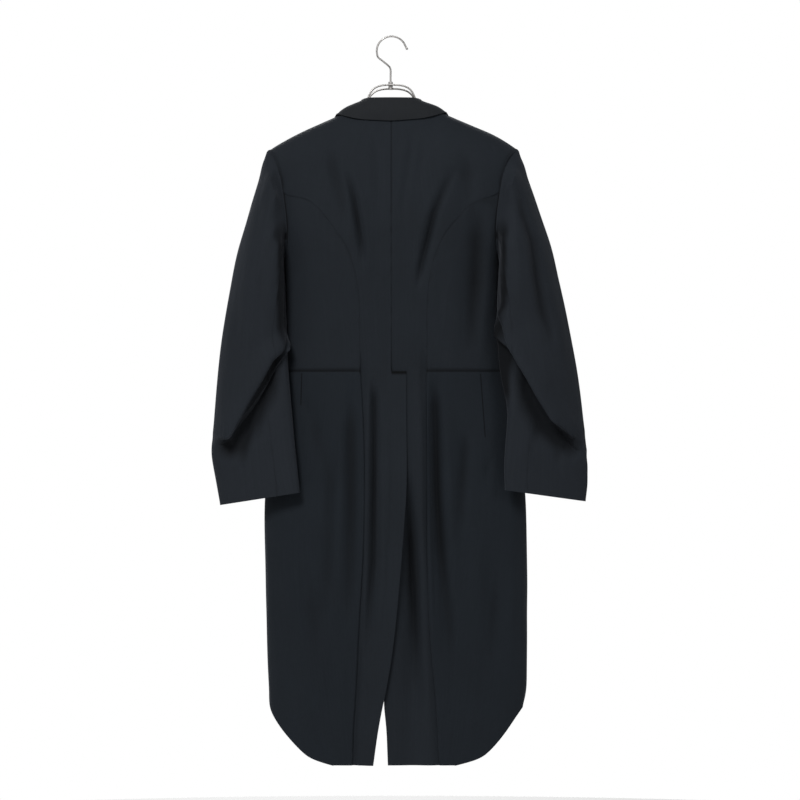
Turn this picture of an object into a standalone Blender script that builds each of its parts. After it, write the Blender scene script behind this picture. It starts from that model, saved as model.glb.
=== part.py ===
"""Morning coat with cutaway fronts, hung on a wire hanger with two wires.

The tables are in millimetres. +Z is up, the coat's back faces +Y and the wearer's left is +X.
The origin is the inside top of the hook, where it rests on a rail. Every cloth piece is a wall
on both sides of one middle surface, the form, so that walls stay parallel at the seams.
"""
import math

import bmesh
import bpy
import numpy as np

MM = 0.001
LEFT = 1
RIGHT = -1
SIDE_NAMES = {LEFT: "left", RIGHT: "right"}

CLOTH = 1.6                 # the wall: worsted with its canvas
SEAM_GAP = 0.3              # between two pieces at a seam
LAYER = 2.1                 # from the middle of one layer to the middle of the next
LAP_STEP = 3.3              # the same where the curved fronts lap at the button
ROUNDNESS = 2.8             # of the body's sections: 2 is an ellipse, more is squarer
SLEEVE_ROUNDNESS = 2.4
RIDGE_DROP = 40.0           # the height over which a shoulder rounds away from its ridge

NAPE_Z = -130.0             # the neck seam at the centre back
NECK_X = 59.0               # the neck point, where the neck seam meets the shoulder seam
SHOULDER_X = {LEFT: 197.0, RIGHT: 202.0}
UNDERARM = math.radians(95)  # the under-arm seam, from the centre back round
WAIST_Z = -543.0            # the waist seam and the top of the vent

# The body's sections
BODY = (
    # z, left half width, right half width, back depth, front depth
    (-95, 214, 214, 22, 16),
    (-130, 214, 214, 29, 24),
    (-160, 214, 214, 38, 36),
    (-200, 211, 212, 50, 50),
    (-258, 198, 198, 59, 58),
    (-310, 185, 185, 63, 61),
    (-365, 174, 174, 63, 60),
    (-450, 172, 172, 57, 54),
    (-543, 178, 179, 49, 48),
    (-620, 190, 196, 52, 50),
    (-690, 198, 210, 55, 51),
    (-760, 206, 218, 56, 49),
    (-900, 203.5, 220, 51, 43),
    (-1000, 201, 219.5, 46, 38),
    (-1080, 197.5, 217.5, 42, 34),
    (-1181, 190, 212, 37, 30),
)

# The ridge of the shoulders, as the outline from the back shows it
RIDGE = (
    # distance from the centre, left z, right z
    (0, -97, -94),
    (59, -116.5, -113.5),
    (92, -131, -128),
    (126, -146, -142.5),
    (154, -159, -154.5),
    (177, -171.5, -165.5),
    (190, -179, -173),
    (204, -189, -184),
    (214, -199, -195),
)

# The armhole, below the shoulder point
ARMHOLE = (
    # drop, x on the back, x on the front
    (17, 185.5, 180),
    (49, 177.4, 169),
    (74, 173, 162),
    (114, 168, 158),
    (151, 168, 161),
    (173, 171.5, 168),
)
ARMHOLE_DROP = 181.0        # down to the under-arm seam
SIDE_SEAM_DROP = 74.0       # down to the top of the side-body seam

# The curved side-body seam, from the armhole to the waist
SIDE_SEAM = {
    LEFT: ((147, -261), (121, -280), (103, -298), (82, -329), (62.5, -368), (52, -428),
           (51, -480), (51, WAIST_Z)),
    RIGHT: ((156, -258), (126, -281), (96.5, -306), (67.5, -366), (58, -428), (57.5, -480),
            (57.5, WAIST_Z)),
}

# The lines that run down the tails
TAIL_LINES = (
    # z, left pleat, right pleat, left panel's edge, right panel's edge, from the centre
    (-543, 51, 57.5, -24.3, -13),
    (-622, 46.5, 58, -24.3, -13),
    (-703, 44.5, 58.5, -25, -13),
    (-785, 45, 58.5, -21, -13),
    (-849, 47, 59, -16.2, -13),
    (-914, 51, 61, -10.5, -13),
    (-978, 54.5, 64, -4, -13),
    (-1043, 57.5, 70, 5.7, -13),
    (-1084, 60, 73, 13.8, -12),
    (-1124, 62.5, 75.5, 21.2, -8.4),
    (-1181, 64, 78.5, 29.3, -6),
)

# The skirt's front edge, cut away round the hip and into the hem
CUTAWAY = (
    # z, left angle from the centre back, right angle
    (-543, 178.7, 178.7),
    (-600, 177.7, 177.7),
    (-665, 175, 175),
    (-745, 168.5, 168.5),
    (-825, 157.5, 157.5),
    (-905, 144.5, 144.5),
    (-985, 128, 128),
    (-1040, 112, 108),
    (-1078, 91, 86),
    (-1092, 84, 72),
    (-1108, 70.6, 62.4),
    (-1124, 61, 55.4),
    (-1140, 52.2, 48.9),
    (-1157, 43.6, 41.8),
    (-1170, 35.5, 34.5),
    (-1181, 22.8, 22),
)

# The roll line and the front edge below it
FRONT_EDGE = (
    # z, x from the centre, below 0 where the fronts lap
    (-113, 59),
    (-150, 57.5),
    (-190, 55),
    (-250, 46),
    (-320, 34),
    (-400, 20),
    (-455, 7),
    (-478, -5),
    (-494, -9),
    (-508, -7),
    (-517, 1),
    (-543, 12),
)
LAPEL_EDGE = (
    # z, x of the lapel's outer edge
    (-172, 114),
    (-190, 109),
    (-215, 104),
    (-260, 93),
    (-320, 76),
    (-390, 52),
    (-430, 35),
    (-446, 24),
)
LAPEL_TOP = (
    # share of the lapel's width, drop below its peak
    (0, 9.5),
    (0.75, 11.5),
    (1, 0),
)
LAPEL_CELLS = (10, 4)       # down and across
LAPEL_RISE = 2.9            # of the lapel's middle over the forepart's
BUTTON_Z = -493.0
BUTTON_RADIUS = 10.0
BUTTON_HEIGHT = 3.5

# Soft folds that the coat hangs in, seen from the back
FOLDS = {
    "left blade": (
        # z, x, half width, height (below 0 is a trough)
        (-228, 69, 10, 0),
        (-265, 59, 10, -3),
        (-298, 54, 10, -4),
        (-330, 49.5, 10, -3),
        (-366, 46, 10, 0),
    ),
    "right blade": (
        (-272, -65.5, 11, 0),
        (-298, -60.5, 11, -3.5),
        (-330, -54, 11, -4),
        (-363, -49.5, 11, -3),
        (-398, -44.5, 11, 0),
    ),
    "right shoulder": (
        (-190, -118, 28, 0),
        (-260, -126, 30, -5),
        (-345, -128, 28, -5),
        (-430, -122, 26, -3),
        (-500, -118, 24, 0),
    ),
    "left flank": (
        (-250, 118, 24, 0),
        (-330, 122, 26, -3),
        (-420, 118, 24, -3),
        (-500, 114, 22, 0),
    ),
    "right hip": (
        (-560, -67, 9, 0),
        (-600, -68, 9.5, -5.5),
        (-770, -70, 10, -6),
        (-860, -76, 12, -5),
        (-950, -88, 14, -4),
        (-1020, -91, 16, -2),
        (-1090, -92, 16, 0),
    ),
    "left tail": (
        (-560, 28, 8, 0),
        (-590, 28, 8, -4),
        (-850, 28, 9, -5),
        (-950, 36, 11, -3),
        (-1030, 41, 13, 0),
    ),
    "left hip": (
        (-770, 150, 26, 0),
        (-880, 146, 26, 4),
        (-1050, 138, 24, 3),
        (-1160, 132, 22, 0),
    ),
}
VENT_WEDGE = (
    # z, x, half width, height: the right tail falls in beside the vent's edge
    (-690, -24, 9, 0),
    (-770, -26, 11, -6),
    (-870, -30, 15, -13),
    (-960, -33, 17, -12),
    (-1080, -34, 18, -7),
    (-1181, -36, 18, -4),
)
VENT_LIFT = (
    # z, height of the left tail's free edge
    (-560, 0),
    (-760, 3),
    (-900, 6),
    (-1181, 5),
)
FREE_EDGE = (4, 24)         # from the left tail's edge, where its lift fades out
VENT_REACH = {LEFT: (15, 45), RIGHT: (26, 52)}  # from the centre, where the vent's layers part
PLEAT_DIP = (-13, -3)       # from the pleat, where the back panel dips under the skirt
WAIST_STEP = 25             # the height above the waist over which the layers part
LAP_REACH = (12, 40)        # from the centre, where the fronts' lap fades out
LAP_HEIGHTS = (430, 462, 520, 543)  # down the front, where the lap begins and ends

# Sleeve rings below the head. The outer end is the outline, the inner end is beside the body
SLEEVE_ENDS = {
    # outer x, outer z, inner x, inner z
    LEFT: (
        (210, -208, 181, -361.5),
        (226, -258, 183, -369),
        (238, -303, 182.5, -386),
        (249.5, -352, 181.5, -411),
        (259, -400, 180.5, -438),
        (268, -450, 178.5, -462),
        (277, -510, 176, -477),
        (284, -582, 172, -488),
        (289, -646, 167, -497),
        (290.3, -659, 168.5, -509),
        (291, -675, 166.5, -548),
        (288.5, -695, 162, -600),
        (285, -714, 157.5, -650),
        (281, -736, 152.5, -697),
        (277, -760, 148, -739),
    ),
    RIGHT: (
        (214, -205, 181, -359),
        (232, -250, 183.5, -367),
        (246.5, -296, 183, -384),
        (258.5, -342, 182, -408),
        (269, -388, 181, -430),
        (280, -436, 180, -446),
        (291, -492, 179, -456),
        (304, -566, 177.5, -464),
        (314, -656, 177, -472),
        (316, -671, 183.5, -487),
        (317, -694, 189, -530),
        (317, -710, 188.5, -590),
        (317, -725, 186, -642),
        (315.5, -740, 182.5, -690),
        (314, -754, 183.5, -735),
    ),
}
SLEEVE_DEPTHS = (
    # outer y, inner y, half depth, lean of the back to the body, sag of the back, step
    (3, 3, 57, 12, 0, 0),
    (5, 5, 64, 17, 0, 0),
    (7, 7, 67, 19, 0, 0),
    (9, 10, 67, 19, 0, 0),
    (11, 14, 63, 18, 0, 0),
    (13, 20, 56, 16, 0, 0),
    (15, 28, 48, 12, 6, 0),
    (17, 36, 42, 8, 15, 2),
    (19, 44, 37, 5, 25, 5),
    (19, 47, 31, 3, 24, -4),
    (20, 51, 27, 0, 12, -3),
    (20, 56, 22, 0, 5, 0),
    (20, 60, 18, 0, 1, 0),
    (21, 63, 15, 0, 0, 0),
    (22, 66, 13.5, 0, 0, 0),
)
FRONT_LEAN = 0.3            # share of a ring's lean that its front half has
HEAD_RISE = (0.6, 4.5)      # of the sleeve head off the body, at the shoulder and at the arm pit
HEAD_DROP = 4.0
HEAD_STEPS = (3.2, 4.5)     # how far the head's first two rings go into the sleeve
HEAD_START = 0.3            # share of the rise and drop that the first of them has

# The collar, from the centre back round to its front end
COLLAR = (
    # crest x, crest y, crest z, edge x, edge z, outward turn, rise of the edge, its face
    (0, 26, -100, 0, -138.5, 0, 3, "back"),
    (12, 25.5, -100, 18, -138, 8, 3, "back"),
    (24, 23.5, -100, 36, -137.5, 17, 3, "back"),
    (34.5, 19, -100, 55, -136, 32, 3.2, "back"),
    (44, 10.5, -101, 73, -132.5, 58, 4, "back"),
    (49.5, 0, -103.5, 87, -129.2, 86, 4.4, "back"),
    (52, -9, -109, 92.5, -136, 100, 4.2, "front"),
    (54, -22, -124, 97, -149, 116, 3.6, "front"),
    (56, -35, -146, 99, -165, 130, 3.2, "front"),
    (57, -45, -168, 98, -179, 140, 3, "front"),
)
COLLAR_FOLD = 2.2
COLLAR_HOLLOW = 0.5         # of the stand
COLLAR_BELLY = (2.0, 1.5)   # of the fall, away from the neck and off the cloth under it
COLLAR_FALL = (
    # share of the way down the fall, share of the belly
    (0.35, 1),
    (0.7, 0.8),
)

# The hanger
WIRE_RADIUS = 1.5
HOOK_RADIUS = 24.0
HOOK_STEM_X = 1.5
HOOK_TURNS = (20.0, 206.0)  # degrees, from the tip's side over the top to the lower left
HOOK_TIP = (
    # x, z, size of the wire's ball end
    (-25.9, -20.2, 0.9),
    (-25.0, -18.6, 1.3),
    (-24.0, -16.9, 1.0),
)
KNUCKLE_RADIUS = 3.6
KNUCKLE_Z = (-73.0, -85.0)
WIRE_BOW = (
    # x, z of the upper wire, z of the lower wire
    (0, -77.8, -83.4),
    (12, -78.3, -83.9),
    (22, -80.3, -86),
    (29.5, -84.5, -90),
    (35, -92, -96.5),
    (39, -101.5, -103),
    (43, -112, -112),
    (49, -122, -122),
    (58, -126, -126),
)
WIRE_SPREAD = (
    # x, distance of each wire from the middle
    (0, 5.5),
    (35, 6.5),
    (62, 7),
    (130, 12),
    (165, 9),
)
WIRE_SHOULDER = (74, 90, 108, 126, 144, 162)  # places from the centre, under the shoulder
WIRE_CLEARANCE = 1.8        # under the cloth
WIRE_POINTS = 18            # on one wire from the knuckle to a shoulder's end

BACK_COLUMNS = 10
NECK_COLUMNS = 5
SHOULDER_COLUMNS = BACK_COLUMNS - NECK_COLUMNS
FLAP_COLUMNS = 2
ROLL_DROPS = (0.0, 3.2, 14.0)
ARCH_ROWS = 5.5             # rows over which the shoulder's slope fades out of a panel's rows
ROW_SPREAD = 1.1            # how the centre's rows widen towards the waist
EVEN_FROM = 0.6             # share of the way to the waist where the columns are even
BLADE_ROWS = 4              # from the last roll row to the top of the side-body seam
SEAM_ROWS = 9               # along the side-body seam
ARMPIT_COLUMNS = 10         # across the side body
ARMHOLE_ROWS = 8            # down the front armhole, below the roll rows
BACK_LOOP = len(ROLL_DROPS) - 1 + BLADE_ROWS + ARMPIT_COLUMNS  # down the back to the under-arm
SLEEVE_SEAMS = (10, 20)     # columns of the hind-arm seam and the front seam
PLEAT_STEPS = (7.0, 14.0, 21.0)
SKIRT_STEP = 12.0           # the skirt's next column beside the pleat
HEM_SHARE = 0.45            # of the hem's width that these columns have where it runs out
TAIL_ROWS = (-543, -572, -618, -672, -730, -790, -850, -910, -968, -1022, -1062, -1088, -1108,
             -1126, -1144, -1160, -1172, -1181)


def smooth(at, values):
    """Return a smooth function through the values, which never overshoots them."""
    order = np.argsort(at)
    at = np.asarray(at, float)[order]
    values = np.asarray(values, float)[order]
    widths = np.diff(at)
    slopes = np.diff(values) / widths
    tangents = np.concatenate([[slopes[0]], np.zeros(len(at) - 2), [slopes[-1]]])
    for i in range(1, len(at) - 1):
        if slopes[i - 1] * slopes[i] > 0:
            before = 2 * widths[i] + widths[i - 1]
            after = widths[i] + 2 * widths[i - 1]
            tangents[i] = (before + after) / (before / slopes[i - 1] + after / slopes[i])

    def value(x):
        x = np.clip(x, at[0], at[-1])
        i = np.clip(np.searchsorted(at, x) - 1, 0, len(widths) - 1)
        t = (x - at[i]) / widths[i]
        ends = values[i] * (1 + 2 * t) * (1 - t) ** 2 + values[i + 1] * t * t * (3 - 2 * t)
        return ends + widths[i] * (tangents[i] * t * (1 - t) ** 2
                                   - tangents[i + 1] * t * t * (1 - t))

    return value


def column(table, index):
    """Return a smooth function of a table's first column."""
    return smooth([row[0] for row in table], [row[index] for row in table])


def along(points, count):
    """Return count + 1 points, evenly spaced on a smooth curve through the points."""
    points = np.asarray(points, float)
    steps = np.linalg.norm(np.diff(points, axis=0), axis=1)
    at = np.concatenate([[0], np.cumsum(steps)])
    places = np.linspace(0, at[-1], count + 1)
    return np.stack([smooth(at, points[:, k])(places) for k in range(points.shape[1])], axis=-1)


def ease(value, start, end):
    """Return 0 at start and 1 at end, with a soft beginning and finish."""
    t = np.clip((value - start) / (end - start), 0, 1)
    return t * t * (3 - 2 * t)


def unit(vectors):
    """Scale vectors to a length of 1."""
    return vectors / np.maximum(np.linalg.norm(vectors, axis=-1, keepdims=True), 1e-9)


HALF_WIDTH = {LEFT: column(BODY, 1), RIGHT: column(BODY, 2)}
BACK_DEPTH = column(BODY, 3)
FRONT_DEPTH = column(BODY, 4)
RIDGE_Z = {LEFT: column(RIDGE, 1), RIGHT: column(RIDGE, 2)}
PLEAT_X = {LEFT: column(TAIL_LINES, 1), RIGHT: column(TAIL_LINES, 2)}
PANEL_EDGE_X = {LEFT: column(TAIL_LINES, 3), RIGHT: column(TAIL_LINES, 4)}
CUTAWAY_TURN = {LEFT: column(CUTAWAY, 1), RIGHT: column(CUTAWAY, 2)}
FRONT_EDGE_X = column(FRONT_EDGE, 1)


def back_angle(side, x, z):
    """Turn a distance from the centre into an angle round the section, on the back."""
    share = np.minimum(np.abs(x) / HALF_WIDTH[side](z), 1)
    return np.sign(x) * np.arcsin(share ** (ROUNDNESS / 2))


def front_angle(side, x, z):
    """Turn a distance from the centre into an angle round the section, on the front."""
    return math.pi - back_angle(side, x, z)


def rounding(side, x, z):
    """Return how much of its depth the form has near the shoulder's ridge, from 0 to 1."""
    down = np.clip((RIDGE_Z[side](np.abs(x)) - z) / RIDGE_DROP, 0, 1)
    return np.sqrt(1 - (1 - down) ** 2)


def form(side, angle, z):
    """Return points of the form, at angles from the centre back round to the front."""
    angle, z = np.broadcast_arrays(np.asarray(angle, float), np.asarray(z, float))
    power = 2 / ROUNDNESS
    x = HALF_WIDTH[side](z) * np.sign(np.sin(angle)) * np.abs(np.sin(angle)) ** power
    facing = np.cos(angle)
    depth = np.where(facing >= 0, BACK_DEPTH(z), FRONT_DEPTH(z))
    y = depth * np.sign(facing) * np.abs(facing) ** power * rounding(side, x, z)
    return np.stack([side * x, y, z], axis=-1)


def level(side, points, near_ridge):
    """Return a value that grows outwards through the form's surface."""
    x, y, z = np.abs(points[..., 0]), points[..., 1], points[..., 2]
    depth = np.where(y >= 0, BACK_DEPTH(z), FRONT_DEPTH(z))
    across = (x / HALF_WIDTH[side](z)) ** ROUNDNESS
    plain = across + (np.abs(y) / depth) ** ROUNDNESS
    room = np.maximum(1 - across, 0) ** (2 / ROUNDNESS)
    ridged = (y / depth) ** 2 - rounding(side, x, z) ** 2 * room
    return np.where(near_ridge, ridged, plain)


def outward(side, points):
    """Return the form's unit normals at its points."""
    near_ridge = RIDGE_Z[side](np.abs(points[..., 0])) - points[..., 2] < RIDGE_DROP
    slopes = [level(side, points + step, near_ridge) - level(side, points - step, near_ridge)
              for step in 0.02 * np.eye(3)]
    return unit(np.stack(slopes, axis=-1))


def fold_height(points, rows):
    """Return the height of one soft fold at points on the coat's back."""
    z = points[..., 2]
    middle, half_width, height = (column(rows, k)(z) for k in (1, 2, 3))
    reach = (z < rows[0][0]) & (z > rows[-1][0] - 1)
    back = np.clip(points[..., 1] / 12, 0, 1)
    return reach * back * height * np.exp(-((points[..., 0] - middle) / half_width) ** 2)


def hang(side, angle, z, depth=0.0):
    """Return points and normals of a layer at some depth under the form, with the folds."""
    points = form(side, angle, z)
    normals = outward(side, points)
    height = sum(fold_height(points, rows) for rows in FOLDS.values()) - depth
    return points + normals * np.asarray(height)[..., None], normals


def plain_material(name, colour, roughness, metallic=0.0):
    """Return a plain material with the photo's colour."""
    material = bpy.data.materials.new(name)
    material.use_nodes = True
    shader = material.node_tree.nodes["Principled BSDF"]
    shader.inputs["Base Color"].default_value = (*colour, 1)
    shader.inputs["Roughness"].default_value = roughness
    shader.inputs["Metallic"].default_value = metallic
    return material


def add_piece(name, mesh, material):
    """Add a mesh to the scene as one piece, shaded smooth between its sharp edges."""
    piece = bpy.data.objects.new(name, mesh)
    bpy.context.scene.collection.objects.link(piece)
    mesh.materials.append(material)
    mesh.shade_smooth()
    mesh.set_sharp_from_angle(angle=math.radians(40))
    return piece


def draw_in(points, keep):
    """Move the free edges of a grid of cloth in by half the seam gap."""
    rows, columns = keep.shape
    inward = {}
    for j in range(rows):
        for i in range(columns):
            if not keep[j, i]:
                continue
            ring = ((j, i), (j, i + 1), (j + 1, i + 1), (j + 1, i))
            beyond = ((j - 1, i), (j, i + 1), (j + 1, i), (j, i - 1))
            centre = sum(points[corner] for corner in ring) / 4
            for k, (row, place) in enumerate(beyond):
                inside = 0 <= row < rows and 0 <= place < columns
                if inside and keep[row, place]:
                    continue
                a, b = ring[k], ring[(k + 1) % 4]
                edge = unit(points[b] - points[a])
                step = centre - points[a]
                step = unit(step - np.dot(step, edge) * edge)
                inward.setdefault(a, []).append(step)
                inward.setdefault(b, []).append(step)
    moved = points.copy()
    for corner, steps in inward.items():
        total = sum(steps)
        spread = max(np.dot(steps[0], total), 0.5)
        moved[corner] += SEAM_GAP / 2 * total / spread
    return moved


def halves(points, ring):
    """Cut a cell along its shorter diagonal, the same way on both sides of the wall."""
    a, b, c, d = ring
    if np.linalg.norm(points[a] - points[c]) <= np.linalg.norm(points[b] - points[d]):
        return (a, b, c), (a, c, d)
    return (a, b, d), (b, c, d)


def add_cloth(name, points, normals, material, keep=None, wall=CLOTH):
    """Add a wall of cloth on both sides of a grid of points."""
    if keep is None:
        keep = np.ones((points.shape[0] - 1, points.shape[1] - 1), bool)
    points = draw_in(points, keep)
    mesh = bmesh.new()
    faces = {1: {}, -1: {}}

    def corner(sign, j, i):
        if (j, i) not in faces[sign]:
            place = points[j, i] + sign * wall / 2 * normals[j, i]
            faces[sign][j, i] = mesh.verts.new(place * MM)
        return faces[sign][j, i]

    rows, columns = keep.shape
    for j in range(rows):
        for i in range(columns):
            if not keep[j, i]:
                continue
            ring = ((j, i), (j, i + 1), (j + 1, i + 1), (j + 1, i))
            for half in halves(points, ring):
                mesh.faces.new([corner(1, *place) for place in half])
                mesh.faces.new([corner(-1, *place) for place in reversed(half)])
            beyond = ((j - 1, i), (j, i + 1), (j + 1, i), (j, i - 1))
            for k, (row, place) in enumerate(beyond):
                inside = 0 <= row < rows and 0 <= place < columns
                if inside and keep[row, place]:
                    continue
                a, b = ring[k], ring[(k + 1) % 4]
                mesh.faces.new([corner(1, *b), corner(1, *a), corner(-1, *a)])
                mesh.faces.new([corner(1, *b), corner(-1, *a), corner(-1, *b)])
    bmesh.ops.recalc_face_normals(mesh, faces=mesh.faces)
    data = bpy.data.meshes.new(name)
    mesh.to_mesh(data)
    mesh.free()
    return add_piece(name, data, material)


def shoulder_z(side):
    """Return the height of a shoulder point."""
    return float(RIDGE_Z[side](SHOULDER_X[side]))


def armhole_x(side, face):
    """Return the armhole's distance from the centre as a function of its drop."""
    index = {"back": 1, "front": 2}[face]
    bottom = HALF_WIDTH[side](shoulder_z(side) - ARMHOLE_DROP)
    drops = [0] + [row[0] for row in ARMHOLE] + [ARMHOLE_DROP]
    return smooth(drops, [SHOULDER_X[side]] + [row[index] for row in ARMHOLE] + [bottom])


def armhole_curve(side, face, start, count):
    """Return angles and heights down the armhole, from a drop to the under-arm seam."""
    turn = {"back": back_angle, "front": front_angle}[face]
    top = shoulder_z(side)
    drops = [start] + [row[0] for row in ARMHOLE if row[0] > start + 1]
    width_of = armhole_x(side, face)
    ends = [(turn(side, width_of(drop), top - drop), top - drop) for drop in drops]
    ends.append((UNDERARM, top - ARMHOLE_DROP))
    reach = np.array([170.0, 1.0])
    return along(np.array(ends, float) * reach, count) / reach


def side_seam_curve(side):
    """Return distances and heights along the side-body seam, from the armhole to the waist."""
    top = shoulder_z(side) - SIDE_SEAM_DROP
    start = (armhole_x(side, "back")(SIDE_SEAM_DROP), top)
    return along((start, *SIDE_SEAM[side]), SEAM_ROWS)


def shoulder_row(side, drop, face):
    """Return distances and heights along the shoulder seam, or at a drop below it."""
    x = np.linspace(NECK_X, armhole_x(side, face)(drop), SHOULDER_COLUMNS + 1)
    ridge = RIDGE_Z[side](x)
    share = (x - NECK_X) / (x[-1] - NECK_X)
    return x, ridge - drop - (ridge[-1] - shoulder_z(side)) * share ** 3


def neck_row(side, drop):
    """Return distances and heights along the back neck seam, or at a drop below it."""
    x = np.linspace(0, NECK_X, NECK_COLUMNS + 1)
    rise = RIDGE_Z[side](NECK_X) - NAPE_Z
    return x, NAPE_Z + rise * (x / NECK_X) ** 2 - drop


def blade_rows(side):
    """Return distances and heights of the back panel's rows from the shoulder to the waist."""
    rows = []
    for drop in ROLL_DROPS:
        neck_x, neck_z = neck_row(side, drop)
        x, z = shoulder_row(side, drop, "back")
        rows.append((np.concatenate([neck_x, x[1:]]), np.concatenate([neck_z, z[1:]])))
    top_x, top_z = rows[-1]
    shape = top_x / top_x[-1]
    arch = top_z - (top_z[0] + (top_z[-1] - top_z[0]) * shape)

    drops = np.linspace(ROLL_DROPS[-1], SIDE_SEAM_DROP, BLADE_ROWS + 1)[1:]
    ends = [(armhole_x(side, "back")(drop), shoulder_z(side) - drop) for drop in drops]
    ends += [tuple(point) for point in side_seam_curve(side)[1:]]
    even = np.linspace(0, 1, BACK_COLUMNS + 1)
    for k, (end_x, end_z) in enumerate(ends, start=1):
        share = k / len(ends)
        middle_z = top_z[0] + (WAIST_Z - top_z[0]) * share ** ROW_SPREAD
        across = shape + (even - shape) * ease(share, 0, EVEN_FROM)
        fade = max(0, 1 - k / ARCH_ROWS) ** 2
        rows.append((end_x * across, middle_z + (end_z - middle_z) * across + arch * fade))
    return rows


def back_panel(side):
    """Return the grid of a back panel: distances, heights, depths and which cells are cloth."""
    rows = blade_rows(side)
    upper = len(rows)
    total = upper + len(TAIL_ROWS) - 1
    columns = FLAP_COLUMNS + BACK_COLUMNS + len(PLEAT_STEPS)
    x = np.zeros((total, columns + 1))
    z = np.zeros((total, columns + 1))
    first, last = FLAP_COLUMNS, FLAP_COLUMNS + BACK_COLUMNS
    for j, (row_x, row_z) in enumerate(rows):
        x[j, first:last + 1] = row_x
        z[j, first:last + 1] = row_z
    steps = np.asarray(PLEAT_STEPS)
    waist = upper - 1
    edge = PANEL_EDGE_X[side](WAIST_Z)
    flap_share = -edge / (PLEAT_X[side](WAIST_Z) - edge)
    shares = np.concatenate([np.linspace(0, flap_share, FLAP_COLUMNS + 1)[:-1],
                             np.linspace(flap_share, 1, BACK_COLUMNS + 1)])
    for j, height in enumerate(TAIL_ROWS):
        pleat = PLEAT_X[side](height)
        inner = PANEL_EDGE_X[side](height)
        outer = pleat if j == 0 else pleat - 2
        x[waist + j, :last + 1] = inner + (outer - inner) * shares
        x[waist + j, last + 1:] = pleat + steps
        z[waist + j] = height
    keep = np.zeros((total - 1, columns), bool)
    keep[:, first:last] = True
    keep[waist:] = True
    return x, z, keep


def vent_depth(side, x, z):
    """Return how far a back panel lies under the form beside the vent."""
    share = (1 - ease(x, *VENT_REACH[side])) * ease(-z, -WAIST_Z - WAIST_STEP, -WAIST_Z)
    return -side * LAYER / 2 * share


def pleat_depth(side, x, z):
    """Return how far a back panel dips under the skirt's fold."""
    pleat = np.where(z > WAIST_Z, PLEAT_X[side](WAIST_Z), PLEAT_X[side](z))
    return 2 * LAYER * ease(x - pleat, *PLEAT_DIP) * ease(-z, -WAIST_Z - WAIST_STEP, -WAIST_Z)


def add_back(side, material):
    """Add a back panel, with its part of the vent and its side pleat's extension."""
    x, z, keep = back_panel(side)
    depth = vent_depth(side, x, z) + pleat_depth(side, x, z)
    if side == LEFT:
        free = 1 - ease(x - PANEL_EDGE_X[LEFT](z), *FREE_EDGE)
        depth -= column(VENT_LIFT, 1)(z) * free * (z < WAIST_Z)
    points, normals = hang(side, back_angle(side, x, z), z, depth)
    if side == RIGHT:
        points += normals * fold_height(points, VENT_WEDGE)[..., None]
    add_cloth(f"back_{SIDE_NAMES[side]}", points, normals, material, keep)


def waist_angles(side):
    """Return the angles of the side body's columns at the waist, from the pleat round."""
    pleat = PLEAT_X[side](WAIST_Z)
    steps = pleat + np.array((0.0, *PLEAT_STEPS, PLEAT_STEPS[-1] + SKIRT_STEP))
    near = back_angle(side, steps, WAIST_Z)
    far = np.linspace(near[-1], UNDERARM, ARMPIT_COLUMNS - len(near) + 2)[1:]
    return np.concatenate([near, far])


def add_side_body(side, material):
    """Add the panel between the side-body seam and the under-arm seam."""
    seam = side_seam_curve(side)
    armhole = armhole_curve(side, "back", SIDE_SEAM_DROP, ARMPIT_COLUMNS)
    seam_angle = back_angle(side, seam[:, 0], seam[:, 1])
    underarm_z = np.linspace(armhole[-1, 1], WAIST_Z, SEAM_ROWS + 1)
    bottom = waist_angles(side)
    bottom_share = (bottom - bottom[0]) / (bottom[-1] - bottom[0])
    top_share = np.linspace(0, 1, ARMPIT_COLUMNS + 1)
    straight = armhole[0] + (armhole[-1] - armhole[0]) * top_share[:, None]
    bow = armhole - straight
    angle = np.zeros((SEAM_ROWS + 1, ARMPIT_COLUMNS + 1))
    z = np.zeros_like(angle)
    for j in range(SEAM_ROWS + 1):
        down = j / SEAM_ROWS
        share = top_share + (bottom_share - top_share) * ease(down, 0, 1)
        fade = (1 - down) ** 2
        angle[j] = seam_angle[j] + (UNDERARM - seam_angle[j]) * share + bow[:, 0] * fade
        z[j] = seam[j, 1] + (underarm_z[j] - seam[j, 1]) * share + bow[:, 1] * fade
    points, normals = hang(side, angle, z)
    add_cloth(f"side_body_{SIDE_NAMES[side]}", points, normals, material)


def front_rows(side):
    """Return the angles and heights of a front's rows, from the shoulder seam to the waist."""
    angles, heights = [], []
    for drop in ROLL_DROPS:
        x, z = shoulder_row(side, drop, "front")
        angles.append(front_angle(side, x, z))
        heights.append(z)
    top_angle, top_z = angles[-1], heights[-1]
    even = np.linspace(0, 1, SHOULDER_COLUMNS + 1)
    bow_angle = top_angle - (top_angle[0] + (top_angle[-1] - top_angle[0]) * even)
    bow_z = top_z - (top_z[0] + (top_z[-1] - top_z[0]) * even)
    outer = list(armhole_curve(side, "front", ROLL_DROPS[-1], ARMHOLE_ROWS)[1:])
    seam_z = np.linspace(outer[-1][1], WAIST_Z, SEAM_ROWS + 1)[1:]
    outer += [(UNDERARM, height) for height in seam_z]
    for k, (end_angle, end_z) in enumerate(outer, start=1):
        inner_z = top_z[0] + (WAIST_Z - top_z[0]) * k / len(outer)
        inner_angle = front_angle(side, FRONT_EDGE_X(inner_z), inner_z)
        fade = max(0, 1 - k / ARCH_ROWS) ** 2
        angles.append(inner_angle + (end_angle - inner_angle) * even + bow_angle * fade)
        heights.append(inner_z + (end_z - inner_z) * even + bow_z * fade)
    return np.array(angles), np.array(heights)


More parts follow.
